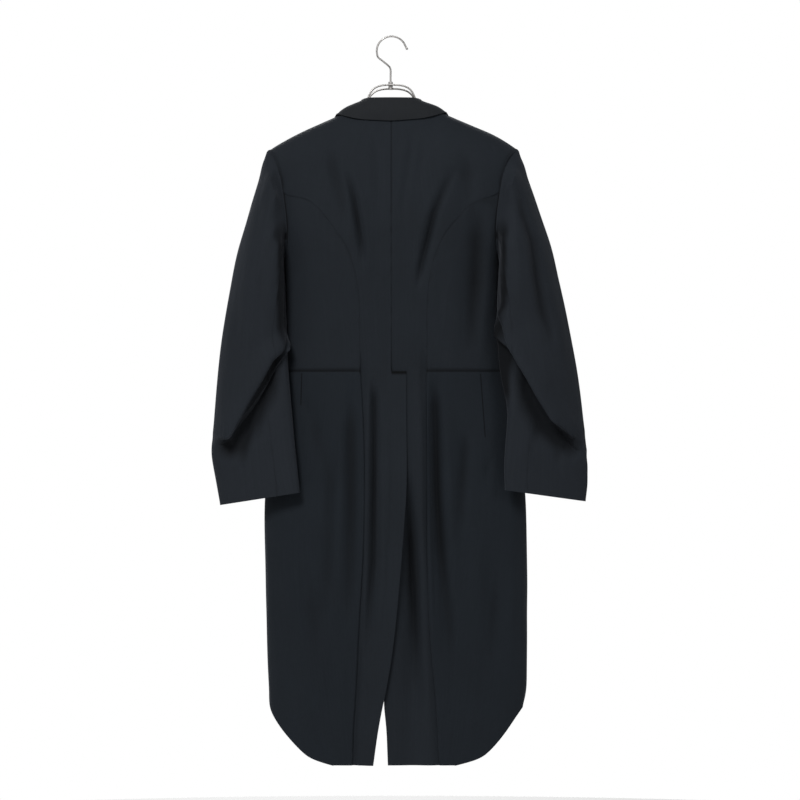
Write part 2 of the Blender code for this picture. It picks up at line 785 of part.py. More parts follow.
def front_layer(side, angle, z, depth=0.0):
    """Return points and normals on a front, with the left one lapped over the right one."""
    points = form(side, angle, z)
    lap = 1 - ease(side * points[..., 0], *LAP_REACH)
    lap = lap * ease(-z, *LAP_HEIGHTS[:2]) * (1 - ease(-z, *LAP_HEIGHTS[2:]))
    return hang(side, angle, z, depth - side * LAP_STEP / 2 * lap)


def add_front(side, material):
    """Add a forepart, from the shoulder seam and the armhole to the waist seam."""
    angle, z = front_rows(side)
    points, normals = front_layer(side, angle, z)
    add_cloth(f"forepart_{SIDE_NAMES[side]}", points, normals, material)


def add_lapel(side, material):
    """Add a turned-back lapel, which lies on the forepart."""
    rows, columns = LAPEL_CELLS
    z = np.linspace(LAPEL_EDGE[0][0], LAPEL_EDGE[-1][0], rows + 1)
    share = np.linspace(0, 1, columns + 1)
    inner = FRONT_EDGE_X(z) + SEAM_GAP
    x = inner[:, None] + (column(LAPEL_EDGE, 1)(z) - inner)[:, None] * share
    drop = np.interp(share, *zip(*LAPEL_TOP))
    height = z[:, None] - drop * (1 - np.linspace(0, 1, rows + 1)[:, None]) ** 2
    points, normals = front_layer(side, front_angle(side, x, height), height, -LAPEL_RISE)
    add_cloth(f"lapel_{SIDE_NAMES[side]}", points, normals, material)


def add_skirt(side, material):
    """Add a skirt: the pleat's folded-under return, its fold, and the cloth round the hip."""
    z = np.asarray(TAIL_ROWS, float)
    bend = LAYER / 2
    under = np.array((*reversed(PLEAT_STEPS), bend))
    over = np.array((bend, *PLEAT_STEPS, PLEAT_STEPS[-1] + SKIRT_STEP))
    edge = np.radians(CUTAWAY_TURN[side](z))
    edge[0] = front_angle(side, FRONT_EDGE_X(WAIST_Z), WAIST_Z)
    pleat = PLEAT_X[side](z)
    width = np.where(edge < math.pi / 2, form(side, edge, z)[:, 0] * side - pleat, np.inf)
    fit = np.minimum(1, width * HEM_SHARE / over[-1])[:, None]
    flat = np.concatenate([under, [0]])
    offsets = np.concatenate([np.broadcast_to(flat, (len(z), len(flat))), bend
                              + (over - bend) * fit], axis=1)
    depth = np.concatenate([np.full(len(under), LAYER), [bend], np.zeros(len(over))])
    turn = np.concatenate([np.full(len(under), math.pi), [math.pi / 2], np.zeros(len(over))])
    x = pleat[:, None] + offsets
    near = back_angle(side, x, z[:, None])
    waist = waist_angles(side)
    side_part = waist[len(over):]
    front_part = np.linspace(UNDERARM, edge[0], SHOULDER_COLUMNS + 1)[1:]
    far = np.concatenate([side_part, front_part])
    far_share = (far - near[0, -1]) / (edge[0] - near[0, -1])
    last = near[:, -1:]
    angle = np.concatenate([near, last + (edge[:, None] - last) * far_share], axis=1)
    extra = len(far)
    depth = np.concatenate([depth, np.zeros(extra)])
    turn = np.concatenate([turn, np.zeros(extra)])
    heights = np.repeat(z[:, None], angle.shape[1], axis=1)
    points, normals = hang(side, angle, heights, depth)
    to_centre = -side * unit(np.cross(normals, (0, 0, 1)))
    normals = normals * np.cos(turn)[:, None] + to_centre * np.sin(turn)[:, None]
    add_cloth(f"skirt_{SIDE_NAMES[side]}", points, normals, material)


def armhole_loop(side):
    """Return the armhole's points and normals, from the shoulder point down the back."""
    top = shoulder_z(side)
    back_drops = np.concatenate([ROLL_DROPS, np.linspace(ROLL_DROPS[-1], SIDE_SEAM_DROP,
                                                         BLADE_ROWS + 1)[1:]])
    back_x = armhole_x(side, "back")(back_drops)
    back = np.stack([back_angle(side, back_x, top - back_drops), top - back_drops], axis=-1)
    pit = armhole_curve(side, "back", SIDE_SEAM_DROP, ARMPIT_COLUMNS)[1:]
    front = armhole_curve(side, "front", ROLL_DROPS[-1], ARMHOLE_ROWS)
    roll_drops = np.array(ROLL_DROPS[1:-1])
    roll_x = armhole_x(side, "front")(roll_drops)
    roll = np.stack([front_angle(side, roll_x, top - roll_drops), top - roll_drops], axis=-1)
    loop = np.concatenate([back, pit, front[::-1][1:], roll[::-1]])
    return hang(side, loop[:, 0], loop[:, 1])


def ring(side, ends, depths, turns):
    """Return one ring of a sleeve and how far its crease steps in or out."""
    outer_x, outer_z, inner_x, inner_z = ends
    outer_y, inner_y, half_depth, lean, sag, step = depths
    outer = np.array((side * outer_x, outer_y, outer_z))
    inner = np.array((side * inner_x, inner_y, inner_z))
    power = 2 / SLEEVE_ROUNDNESS
    cosine = np.sign(np.cos(turns)) * np.abs(np.cos(turns)) ** power
    sine = np.sign(np.sin(turns)) * np.abs(np.sin(turns)) ** power
    across = np.stack([-side * lean * np.where(sine > 0, 1, FRONT_LEAN),
                       np.full_like(sine, half_depth), np.where(sine > 0, -sag, 0)], axis=-1)
    points = (outer + inner) / 2 + (outer - inner) / 2 * cosine[:, None] + across * sine[:, None]
    back = np.sqrt(np.clip(np.sin(turns), 0, 1)) * (1 - ease(np.cos(turns), 0.5, 1))
    return points, step * back


def sleeve_grid(side):
    """Return a whole sleeve's rings and normals, from the armhole to the cuff."""
    loop, loop_normals = armhole_loop(side)
    count = len(loop)
    run = unit(np.roll(loop, -1, axis=0) - np.roll(loop, 1, axis=0))
    into = side * unit(np.cross(run, loop_normals))
    heights = loop[:, 2]
    low = (heights.max() - heights) / (heights.max() - heights.min())
    own_turns = np.arccos(1 - 2 * low)
    own_turns[BACK_LOOP + 1:] = 2 * math.pi - own_turns[BACK_LOOP + 1:]
    even_turns = np.concatenate([np.linspace(0, math.pi, BACK_LOOP + 1),
                                 np.linspace(math.pi, 2 * math.pi, count - BACK_LOOP + 1)[1:-1]])
    low = low[:, None]
    rise = HEAD_RISE[0] + (HEAD_RISE[1] - HEAD_RISE[0]) * low
    down = np.array((0, 0, -HEAD_DROP)) * (1 - low)
    rings = [loop + SEAM_GAP * low * into,
             loop + HEAD_STEPS[0] * into + HEAD_START * (rise * loop_normals + down),
             loop + HEAD_STEPS[1] * into + rise * loop_normals + down]
    steps = [np.zeros(count)] * 3
    for k, (ends, depths) in enumerate(zip(SLEEVE_ENDS[side], SLEEVE_DEPTHS)):
        turns = own_turns + (even_turns - own_turns) * ease(k, 0, 5)
        points, step = ring(side, ends, depths, turns)
        rings.append(points)
        steps.append(step)
    rings = np.array(rings)
    around = np.roll(rings, -1, axis=1) - np.roll(rings, 1, axis=1)
    length = np.gradient(rings, axis=0)
    normals = unit(np.cross(around, length)) * -side
    normals[0] = loop_normals
    normals[1] = unit(normals[1] + loop_normals)
    return rings + normals * np.array(steps)[..., None], normals


def add_sleeve(side, top_material, under_material):
    """Add a two-piece sleeve, open at the armhole and at the cuff."""
    points, normals = sleeve_grid(side)
    count = points.shape[1]
    hind, front = SLEEVE_SEAMS
    under = np.arange(hind, front + 1)
    top = np.arange(front, hind + count + 1) % count
    name = SIDE_NAMES[side]
    add_cloth(f"top_sleeve_{name}", points[:, top], normals[:, top], top_material)
    add_cloth(f"under_sleeve_{name}", points[:, under], normals[:, under], under_material)


def neck_edge(side):
    """Return points, normals and directions off the cloth, round the neck's edge."""
    rows = [neck_row(side, drop) for drop in ROLL_DROPS[:2]]
    edge, normals = hang(side, back_angle(side, *rows[0]), rows[0][1])
    below = hang(side, back_angle(side, *rows[1]), rows[1][1])[0]
    angles, heights = front_rows(side)
    count = len(COLLAR) - len(edge)
    front, front_normals = hang(side, angles[1:count + 1, 0], heights[1:count + 1, 0])
    beside = hang(side, angles[1:count + 1, 1], heights[1:count + 1, 1])[0]
    points = np.concatenate([edge, front])
    normals = np.concatenate([normals, front_normals])
    back_off = edge - below
    off = np.concatenate([back_off, front - beside])
    off[len(edge) - 1] = unit(off[len(edge) - 1]) + unit(off[len(edge)])
    run = unit(np.gradient(points, axis=0))
    off -= np.sum(off * run, axis=1)[:, None] * run
    off -= np.sum(off * normals, axis=1)[:, None] * normals
    return points, normals, unit(off)


def collar_half(side):
    """Return the collar's stations on one side, each from its neck seam to its free edge."""
    stations = []
    for place, normal, off, row in zip(*neck_edge(side), COLLAR):
        crest_x, crest_y, crest_z, edge_x, edge_z, turn, rise_of_edge, face = row
        lift = RIDGE_Z[side](edge_x) - RIDGE_Z[LEFT](edge_x)
        edge_z += lift * min(1, edge_x / COLLAR[5][3])
        edge_angle = (back_angle if face == "back" else front_angle)(side, edge_x, edge_z)
        edge, edge_normal = hang(side, edge_angle, edge_z)
        edge = edge + edge_normal * rise_of_edge
        aim = math.radians(turn)
        out = np.array((side * math.sin(aim), math.cos(aim), 0))
        crest = np.array((side * crest_x, crest_y, crest_z - COLLAR_FOLD))
        inner = crest - COLLAR_FOLD * out
        rise = unit(inner - place)
        aside = np.linalg.norm(rise - np.dot(rise, off) * off)
        base = place + off * (SEAM_GAP / 2 + CLOTH / 2 * aside)
        outer = crest + COLLAR_FOLD * out
        belly = out * COLLAR_BELLY[0] + edge_normal * COLLAR_BELLY[1]
        stations.append([base, (base + inner) / 2 - out * COLLAR_HOLLOW, inner,
                         crest + COLLAR_FOLD * np.array((0, 0, 1)), outer,
                         *(outer + (edge - outer) * share + belly * part
                           for share, part in COLLAR_FALL), edge])
    return stations


def add_collar(material):
    """Add the folded collar, from one front end round the neck to the other."""
    left, right = collar_half(LEFT), collar_half(RIGHT)
    points = np.array(right[::-1] + left[1:])
    along_neck = np.gradient(points, axis=0)
    across = np.gradient(points, axis=1)
    normals = unit(np.cross(along_neck, across))
    add_cloth("collar", points, normals, material)


def add_button(material):
    """Add the waist button, which lies on the lapped fronts."""
    places, normals = front_layer(LEFT, front_angle(LEFT, 0.0, BUTTON_Z), BUTTON_Z)
    rise = CLOTH / 2 + SEAM_GAP + BUTTON_HEIGHT / 2
    bpy.ops.mesh.primitive_cylinder_add(vertices=20, radius=BUTTON_RADIUS * MM,
                                        depth=BUTTON_HEIGHT * MM)
    button = bpy.context.object
    button.name = "front_button"
    button.rotation_euler = (math.pi / 2 - math.atan2(normals[2], -normals[1]), 0, 0)
    button.location = (places + rise * normals) * MM
    bevel = button.modifiers.new("rim", "BEVEL")
    bevel.width = 0.8 * MM
    bevel.segments = 1
    button.data.materials.append(material)


def add_wire(name, points, material, closed=False, sizes=None, roundness=2):
    """Add a round wire along points."""
    data = bpy.data.curves.new(name, "CURVE")
    data.dimensions = "3D"
    data.bevel_depth = WIRE_RADIUS * MM
    data.bevel_resolution = roundness
    data.use_fill_caps = not closed
    spline = data.splines.new("POLY")
    spline.points.add(len(points) - 1)
    for k, place in enumerate(points):
        spline.points[k].co = (*(np.asarray(place) * MM), 1)
        if sizes is not None:
            spline.points[k].radius = sizes[k]
    spline.use_cyclic_u = closed
    data.materials.append(material)
    wire = bpy.data.objects.new(name, data)
    bpy.context.scene.collection.objects.link(wire)


def add_hook(material):
    """Add the hook: a turn of wire over the rail and a stem down to the knuckle."""
    start, end = (math.radians(turn) for turn in HOOK_TURNS)
    centre_z = WIRE_RADIUS - HOOK_RADIUS
    turns = np.linspace(start, end, 18)
    arc = [(-HOOK_RADIUS * math.cos(turn), 0, centre_z + HOOK_RADIUS * math.sin(turn))
           for turn in turns]
    neck = along((arc[-1], (11.5, 0, -41), (4.5, 0, -47), (HOOK_STEM_X, 0, -52)), 5)[1:]
    stem = [(HOOK_STEM_X, 0, -62), (HOOK_STEM_X, 0, KNUCKLE_Z[0] + SEAM_GAP)]
    tip = [(x, 0, z) for x, z, size in HOOK_TIP]
    points = tip + arc + [tuple(place) for place in neck] + stem
    sizes = [row[2] for row in HOOK_TIP] + [1.0] * (len(points) - len(tip))
    add_wire("hanger_hook", points, material, sizes=sizes)


def add_knuckle(material):
    """Add the ferrule that clamps the hook's stem between the wires."""
    top, bottom = KNUCKLE_Z
    bpy.ops.mesh.primitive_cylinder_add(vertices=16, radius=KNUCKLE_RADIUS * MM,
                                        depth=(top - bottom) * MM)
    knuckle = bpy.context.object
    knuckle.name = "hanger_knuckle"
    knuckle.location = (HOOK_STEM_X * MM, 0, (top + bottom) / 2 * MM)
    bevel = knuckle.modifiers.new("rim", "BEVEL")
    bevel.width = 0.7 * MM
    bevel.segments = 2
    knuckle.data.materials.append(material)


def wire_under(side, x, face_sign):
    """Return the place of a wire just inside the cloth of a shoulder."""
    spread = float(column(WIRE_SPREAD, 1)(x))
    ridge = float(RIDGE_Z[side](x))
    room = 1 - (x / HALF_WIDTH[side](ridge)) ** ROUNDNESS
    depth = (BACK_DEPTH if face_sign > 0 else FRONT_DEPTH)(ridge - 5) * room ** (1 / ROUNDNESS)
    drop = RIDGE_DROP * (1 - math.sqrt(1 - (spread / depth) ** 2))
    place = np.array((side * x, face_sign * spread, ridge - drop))
    inset = WIRE_RADIUS + CLOTH / 2 + WIRE_CLEARANCE
    return place - inset * outward(side, place)


def wire_half(side, face_sign):
    """Return one wire's points from the knuckle to the end of a shoulder."""
    index = 1 if face_sign > 0 else 2
    spread = column(WIRE_SPREAD, 1)
    bow = [(side * row[0], face_sign * spread(row[0]), row[index]) for row in WIRE_BOW]
    shoulder = [wire_under(side, x, face_sign) for x in WIRE_SHOULDER]
    return along(bow + shoulder, WIRE_POINTS)


def add_wires(material):
    """Add the hanger's wire: one closed loop, past the back and the front of the knuckle."""
    halves = {(side, sign): wire_half(side, sign) for side in (LEFT, RIGHT) for sign in (1, -1)}
    points = []
    for side, sign in ((LEFT, 1), (RIGHT, -1)):
        points += list(halves[side, sign][1:])
        back, front = halves[side, sign][-1], halves[side, -sign][-1]
        middle = (back + front) / 2
        reach = abs(back[1] - front[1]) / 2
        for turn in (45, 90, 135):
            aim = math.radians(turn)
            across = (back[1] - front[1]) / 2 * math.cos(aim)
            out = 0.6 * reach * math.sin(aim)
            points.append(middle + np.array((side * out, across, -0.8 * out - 1)))
        points += list(halves[side, -sign][::-1])
    add_wire("hanger_wires", points, material, closed=True, roundness=1)


def main():
    for item in list(bpy.data.objects):
        bpy.data.objects.remove(item, do_unlink=True)
    chrome = plain_material("chrome wire", (0.55, 0.56, 0.57), 0.18, 1.0)
    add_hook(chrome)
    add_knuckle(plain_material("chrome ferrule", (0.5, 0.51, 0.52), 0.22, 1.0))
    add_wires(plain_material("chrome frame", (0.53, 0.54, 0.55), 0.2, 1.0))
    for side in (LEFT, RIGHT):
        name = SIDE_NAMES[side]
        add_back(side, plain_material(f"worsted back {name}", (0.017, 0.02, 0.024), 0.85))
        add_side_body(side, plain_material(f"worsted side {name}", (0.017, 0.02, 0.025), 0.85))
        add_front(side, plain_material(f"worsted front {name}", (0.016, 0.019, 0.023), 0.85))
        add_lapel(side, plain_material(f"worsted lapel {name}", (0.018, 0.021, 0.025), 0.85))
        add_skirt(side, plain_material(f"worsted skirt {name}", (0.014, 0.017, 0.021), 0.85))
        add_sleeve(side, plain_material(f"worsted top sleeve {name}", (0.02, 0.023, 0.028), 0.85),
                   plain_material(f"worsted under sleeve {name}", (0.02, 0.023, 0.028), 0.85))
    add_collar(plain_material("worsted collar", (0.024, 0.025, 0.028), 0.85))
    add_button(plain_material("black button", (0.012, 0.012, 0.013), 0.35))


main()
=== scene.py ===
import math

import bpy
import numpy as np
from mathutils.bvhtree import BVHTree
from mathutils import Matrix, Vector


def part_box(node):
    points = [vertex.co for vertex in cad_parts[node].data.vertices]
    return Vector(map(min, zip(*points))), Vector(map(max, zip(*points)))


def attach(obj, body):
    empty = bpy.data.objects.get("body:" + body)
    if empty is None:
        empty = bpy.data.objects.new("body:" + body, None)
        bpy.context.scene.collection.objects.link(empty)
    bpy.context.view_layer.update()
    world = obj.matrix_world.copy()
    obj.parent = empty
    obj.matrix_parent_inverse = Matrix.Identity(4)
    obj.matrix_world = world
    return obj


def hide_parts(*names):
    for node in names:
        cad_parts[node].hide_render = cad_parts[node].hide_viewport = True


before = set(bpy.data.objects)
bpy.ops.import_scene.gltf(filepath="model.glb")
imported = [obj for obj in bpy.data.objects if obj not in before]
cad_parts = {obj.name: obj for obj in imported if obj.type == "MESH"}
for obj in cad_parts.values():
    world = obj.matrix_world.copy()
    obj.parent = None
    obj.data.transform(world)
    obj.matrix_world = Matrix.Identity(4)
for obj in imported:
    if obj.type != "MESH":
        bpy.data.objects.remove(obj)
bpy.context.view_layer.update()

# The back panels. Two lengths of black worsted wool, each cut in one from the shoulder to the
# hem and sewn together down the centre. Below the waist the left one laps over the right one as
# the hook vent, and both run under the skirts as the side pleats.

# Lengths are in millimetres and angles in degrees, unless a line says otherwise.
MM = 0.001
WAIST_Z = -543              # the waist seam
SEAM_DIPS = {"waist": 0.8, "centre": 0.8, "other": 0.45}  # how far cloth is pressed in at a seam
SEAM_TONES = {"waist": 0.75, "centre": 0.4, "other": 0.22}  # how dark the line of a seam is
SEAM_SHARES = {"waist": 0.85, "other": 0.72}  # the part of a cell that stays flat by a seam
SEAM_NEAR = 6               # a point this near the waist or the centre belongs to that seam
FOLD_TONE = {"each": 0.09, "from": 1.6, "most": 0.72}  # shade painted into a fold, by its depth in millimetres
ARMHOLE_X = 160             # the back's armhole is farther out than this and above the arm pit
ARMPIT_Z = -368
# how dark the armhole's seam line is, with painted shade standing for the crevice between sleeve and
# body
ARMHOLE_SEAM_AND_SHADE_TONE = 0.85
ARMHOLE_EASE = {"from": 186, "over": 75, "least": 0.3}  # its line of painted shade grows darker down from here
VENT_LINE = 3.5             # half the height of the dark line across the vent's top
VENT_TONE = 0.95
SEAM_REACH = 0.75           # a rim this near another piece's cloth is sewn to it
RIM_WIDTH = 1.75            # a rim's face has an edge shorter than this, across the wall
TONGUE = {"inset": 0.45, "depth": 1.0}  # the seam's turned-in edge, inside its neighbour's wall
QUAD_ANGLES = (35, 60)      # the bend and the skew up to which two triangles become one face
SHARP_ANGLE = 62            # a wall's rim is sharper than this
CORNER_ANGLE = 30           # a rim that turns by more has a crisp corner
SMOOTH_ANGLE = 48
FIT_ROUNDS = 3              # how often a finer surface is fitted to the solid's points
FOLD_EASE = 12              # how far off the body's middle plane a fold has its whole depth
BODY_SQUARES = (40, 2.8)    # in proportion to the body's squared half width and half depth
GIRTH = {"across": 200, "deep": 50, "round": 230}  # the body's half sizes and its grain's radius

BACK_COLOUR = (0.0105, 0.0132, 0.0170)
# the dark colour of the seam lines, also mixed in as painted shade in deep folds, along the armhole
# and between sleeve and body
SEAM_AND_PAINTED_SHADE_COLOUR = (0.0008, 0.0010, 0.0014)
SHEEN_COLOUR = (0.75, 0.82, 0.95)
# the ribs' angle per metre, in radians, their slant, and how much ribs, wear and specks show
TWILL = {"ribs": 6500, "slant": 0.6, "rib": 0.06, "wear": 0.35, "speck": 0.5}
STREAK_STRETCH = (420, 5, 1)  # streaks of yarn run along the grain
HANG_STRETCH = (1, 1, 0.3)  # the cloth's soft waves are longer down the coat
BUMPS = {"threads": 0.2, "hang": 6, "strength": 0.35}

# z, x, half width, height in millimetres, from the top of a fold to its end
BACK_FOLDS = {
    "back_left": (
        ((-205, 76, 6, 0), (-240, 67, 5.5, -4), (-268, 60, 5.5, -7), (-298, 55, 5.5, -8.2),
         (-335, 49, 5.5, -6.2), (-375, 45.5, 5, 0)),
        ((-205, 62, 8, 0), (-262, 49, 8, 2.6), (-335, 39, 8, 2.2), (-400, 36, 8, 0)),
        ((-150, 28, 8, 0), (-190, 26, 8, -2.2), (-250, 22, 8, -2), (-320, 20, 8, 0)),
        ((-160, 100, 12, 0), (-215, 94, 12, -4.4), (-275, 80, 11, -3.6), (-325, 70, 10, 0)),
        ((-170, 126, 12, 0), (-225, 120, 12, -1.8), (-270, 112, 12, 0)),
        ((-300, 84, 9, 0), (-350, 74, 9, -1.4), (-420, 66, 9, 0)),
        ((-556, 30, 4.5, 0), (-590, 28, 6, -7), (-720, 28, 6.5, -9), (-850, 30, 7, -7.6),
         (-950, 38, 8, -3.6), (-1040, 43, 10, 0)),
        ((-585, 40, 4.5, 0), (-700, 39.5, 4.5, 2.2), (-880, 42, 5, 2), (-1000, 48, 8, 0)),
        ((-600, 10, 10, 0), (-760, 8, 11, 2.2), (-940, 16, 10, 2), (-1120, 32, 9, 0)),
        ((-980, 48, 8, 0), (-1060, 50, 8, -1.4), (-1150, 54, 8, 0)),
    ),
    "back_right": (
        ((-212, -104, 9, 0), (-240, -90, 8, -4), (-288, -69.5, 6, -7.4), (-330, -59, 5.5, -8.4),
         (-378, -47, 5.5, -6.2), (-412, -42, 5, 0)),
        ((-235, -74, 8, 0), (-288, -55, 8, 2.4), (-340, -45, 8, 2.6), (-420, -33, 8, 0)),
        ((-140, -37, 7, 0), (-190, -30, 7, -2.6), (-260, -20, 7, -2), (-320, -16, 7, 0)),
        ((-150, -58, 9, 0), (-205, -48, 9, -2), (-262, -40, 9, 0)),
        ((-172, -158, 3.5, 0), (-180, -161, 3.5, -2), (-192, -166, 3.5, 0)),
        ((-170, -118, 13, 0), (-225, -122, 14, -4), (-300, -126, 14, 0)),
        ((-700, -27, 5, 0), (-760, -29, 6.5, -5), (-820, -32, 8, -10.5), (-885, -35, 9, -12.5),
         (-940, -37, 9, -9), (-1010, -39, 9, -4.5), (-1090, -40, 10, 0)),
        ((-560, -48, 4.5, 0), (-640, -49, 4.5, 1.6), (-780, -50, 4.5, 2.2), (-900, -54, 5, 0)),
        ((-990, -56, 8, 0), (-1050, -58, 9, 2), (-1120, -60, 9, 0)),
    ),
}

# the cloth solids, to find which rims lie against another piece
cloth_trees = {
    name: BVHTree.FromPolygons([point.co for point in node.data.vertices],
                               [face.vertices[:] for face in node.data.polygons])
    for name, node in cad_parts.items()
    if not name.startswith(("hanger", "front_button"))}


def values_of(piece, name):
    """Read a value that is kept at each of a piece's points."""
    values = np.zeros(len(piece.data.vertices))
    piece.data.attributes[name].data.foreach_get("value", values)
    return values


def keep_values(piece, name, values):
    """Keep a value at each of a piece's points."""
    kept = piece.data.attributes
    kept = kept[name] if name in kept else kept.new(name, "FLOAT", "POINT")
    kept.data.foreach_set("value", values.astype(np.float32))


def pick_seams(piece, node_name):
    """Select the faces of a wall's rim that are sewn to another piece."""
    mesh = piece.data
    lengths = {edge.key: (mesh.vertices[edge.vertices[0]].co
                          - mesh.vertices[edge.vertices[1]].co).length for edge in mesh.edges}
    others = [tree for name, tree in cloth_trees.items() if name != node_name]
    seam = np.zeros(len(mesh.vertices))
    for face in mesh.polygons:
        face.select = False
        if min(lengths[key] for key in face.edge_keys) > RIM_WIDTH * MM:
            continue
        if not any(mesh.edges[k].use_edge_sharp for k in edges_of(mesh, face)):
            continue
        face.select = any(tree.find_nearest(face.center, SEAM_REACH * MM)[0] for tree in others)
        if face.select:
            seam[list(face.vertices)] = 1
    keep_values(piece, "seam", seam)


def edges_of(mesh, face):
    """Return the indices of a face's edges."""
    return [mesh.loops[k].edge_index for k in face.loop_indices]


def read_edges(mesh):
    """Read the two ends of each edge of a mesh, and which edges are sharp."""
    ends = np.zeros(2 * len(mesh.edges), int)
    mesh.edges.foreach_get("vertices", ends)
    sharp = np.zeros(len(mesh.edges), bool)
    mesh.edges.foreach_get("use_edge_sharp", sharp)
    return ends.reshape(-1, 2), sharp


def crease_rims(piece):
    """Crease the sharp edges of a wall, and the corners where its rim turns."""
    ends, sharp = read_edges(piece.data)
    crease = piece.data.attributes.new("crease_edge", "FLOAT", "EDGE")
    crease.data.foreach_set("value", sharp.astype(np.float32))
    places = points_of(piece)
    beside = {}
    for a, b in ends[sharp]:
        beside.setdefault(a, []).append(places[b] - places[a])
        beside.setdefault(b, []).append(places[a] - places[b])
    corner = np.zeros(len(places))
    for k, ways in beside.items():
        if len(ways) == 2:
            first, second = (way / np.linalg.norm(way) for way in ways)
            corner[k] = np.dot(first, second) > -math.cos(math.radians(CORNER_ANGLE))
    keep_values(piece, "crease_vert", corner)


def subdivide(piece, levels):
    """Subdivide a piece so that its surface still passes through the solid's points."""
    finer = piece.modifiers.new("finer", "SUBSURF")
    finer.levels = levels
    finer.render_levels = levels
    wanted = points_of(piece)
    for fit in range(FIT_ROUNDS):
        bpy.context.view_layer.update()
        made = points_of(piece.evaluated_get(bpy.context.evaluated_depsgraph_get()))
        set_points(piece, points_of(piece) + wanted - made[:len(wanted)])
    bpy.ops.object.modifier_apply(modifier=finer.name)


def smooth_between(piece, top, bottom, rounds):
    """Even out a piece between two heights, away from its rims."""
    ends, sharp = read_edges(piece.data)
    places = points_of(piece)
    free = (places[:, 2] < top) & (places[:, 2] > bottom)
    free[ends[sharp].ravel()] = False
    for turn in range(rounds):
        total = np.zeros_like(places)
        count = np.zeros(len(places))
        for a, b in (ends.T, ends.T[::-1]):
            np.add.at(total, a, places[b])
            np.add.at(count, a, 1)
        middle = total / np.maximum(count, 1)[:, None]
        places[free] += 0.5 * (middle - places)[free]
    set_points(piece, places)


def dress(node_name, piece_name, levels=2, sewn=True, evened=None):
    """Copy a solid as a finer piece, with crisp rims and with its seams' turned-in edges."""
    piece = bpy.data.objects.new(piece_name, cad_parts[node_name].data.copy())
    bpy.context.scene.collection.objects.link(piece)
    bpy.ops.object.select_all(action="DESELECT")
    piece.select_set(True)
    bpy.context.view_layer.objects.active = piece
    bpy.ops.object.mode_set(mode="EDIT")
    bpy.ops.mesh.select_all(action="SELECT")
    bpy.ops.mesh.remove_doubles(threshold=0.00001)
    bend, skew = (math.radians(angle) for angle in QUAD_ANGLES)
    bpy.ops.mesh.tris_convert_to_quads(face_threshold=bend, shape_threshold=skew)
    mark_sharp()
    bpy.ops.object.mode_set(mode="OBJECT")
    if sewn:
        pick_seams(piece, node_name)
        bpy.ops.object.mode_set(mode="EDIT")
        bpy.ops.mesh.select_mode(type="FACE")
        bpy.ops.mesh.inset(thickness=TONGUE["inset"] * MM, depth=TONGUE["depth"] * MM)
        mark_sharp()
        bpy.ops.object.mode_set(mode="OBJECT")
    if evened:
        smooth_between(piece, *evened)
    crease_rims(piece)
    subdivide(piece, levels)
    bpy.ops.object.shade_smooth_by_angle(angle=math.radians(SMOOTH_ANGLE))
    return piece


def mark_sharp():
    """Mark the sharp edges of the piece that is being edited."""
    bpy.ops.mesh.select_mode(type="EDGE")
    bpy.ops.mesh.select_all(action="SELECT")
    bpy.ops.mesh.mark_sharp(clear=True)
    bpy.ops.mesh.select_all(action="DESELECT")
    bpy.ops.mesh.edges_select_sharp(sharpness=math.radians(SHARP_ANGLE))
    bpy.ops.mesh.mark_sharp()


def points_of(piece):
    """Read a piece's points, in millimetres."""
    places = np.zeros(3 * len(piece.data.vertices))
    piece.data.vertices.foreach_get("co", places)
    return places.reshape(-1, 3) / MM


def set_points(piece, places):
    """Write a piece's points, given in millimetres."""
    piece.data.vertices.foreach_set("co", (places * MM).ravel())
    piece.data.update()


def off_body(places):
    """Return directions out of the body, the same on both sides of a wall."""
    across, deep = BODY_SQUARES
    out = np.stack([places[:, 0] / across, places[:, 1] / deep, 0 * places[:, 0]], axis=-1)
    return out / np.maximum(np.linalg.norm(out, axis=1, keepdims=True), 1e-6)


def folds(places, tables, face):
    """Add up soft troughs and ridges, each along its own line down the cloth."""
    down = -places[:, 2]
    height = np.zeros(len(places))
    for rows in tables:
        z, middle, half, size = np.array(rows, float).T
        inside = (down > -z[0]) & (down < -z[-1])
        spread = (places[:, 0] - np.interp(down, -z, middle)) / np.interp(down, -z, half)
        height += inside * np.interp(down, -z, size) * np.exp(-spread ** 2)
    return height * np.clip(face * places[:, 1] / FOLD_EASE, 0, 1)


def seam_dip(piece, places, height, armhole=None, plain=None):
    """Return the folds' height with the seams pressed in, and keep how dark the seams are and the
    shade painted into deep folds and along the armhole.
    """
    at_waist = np.abs(places[:, 2] - WAIST_Z) < SEAM_NEAR
    flat = np.where(at_waist, SEAM_SHARES["waist"], SEAM_SHARES["other"])
    near = np.clip((values_of(piece, "seam") - flat) / (1 - flat), 0, 1) ** 2
    if plain is not None:
        near[plain] = 0
    at_centre = np.abs(places[:, 0]) < SEAM_NEAR
    dip, tone = (np.where(at_waist, table["waist"],
                          np.where(at_centre, table["centre"], table["other"]))
                 for table in (SEAM_DIPS, SEAM_TONES))
    if armhole is not None:
        eased = (-places[:, 2] - ARMHOLE_EASE["from"]) / ARMHOLE_EASE["over"]
        tone = np.maximum(tone, ARMHOLE_SEAM_AND_SHADE_TONE * armhole * np.clip(eased, ARMHOLE_EASE["least"], 1))
    # painted shade in a deep fold, darker the deeper it is
    deep = FOLD_TONE["each"] * np.clip(-height - FOLD_TONE["from"], 0, None)
    keep_values(piece, "line", np.maximum(tone * near, np.minimum(deep, FOLD_TONE["most"])))
    return height - dip * near


def lay_weave(piece, across, down):
    """Give a piece a UV map in metres, across and down the cloth's grain."""
    layers = piece.data.uv_layers
    layer = layers[0] if layers else layers.new(name="grain")
    corner = np.zeros(len(piece.data.loops), int)
    piece.data.loops.foreach_get("vertex_index", corner)
    flat = np.stack([across[corner], down[corner]], axis=-1) * MM
    layer.data.foreach_set("uv", flat.ravel())


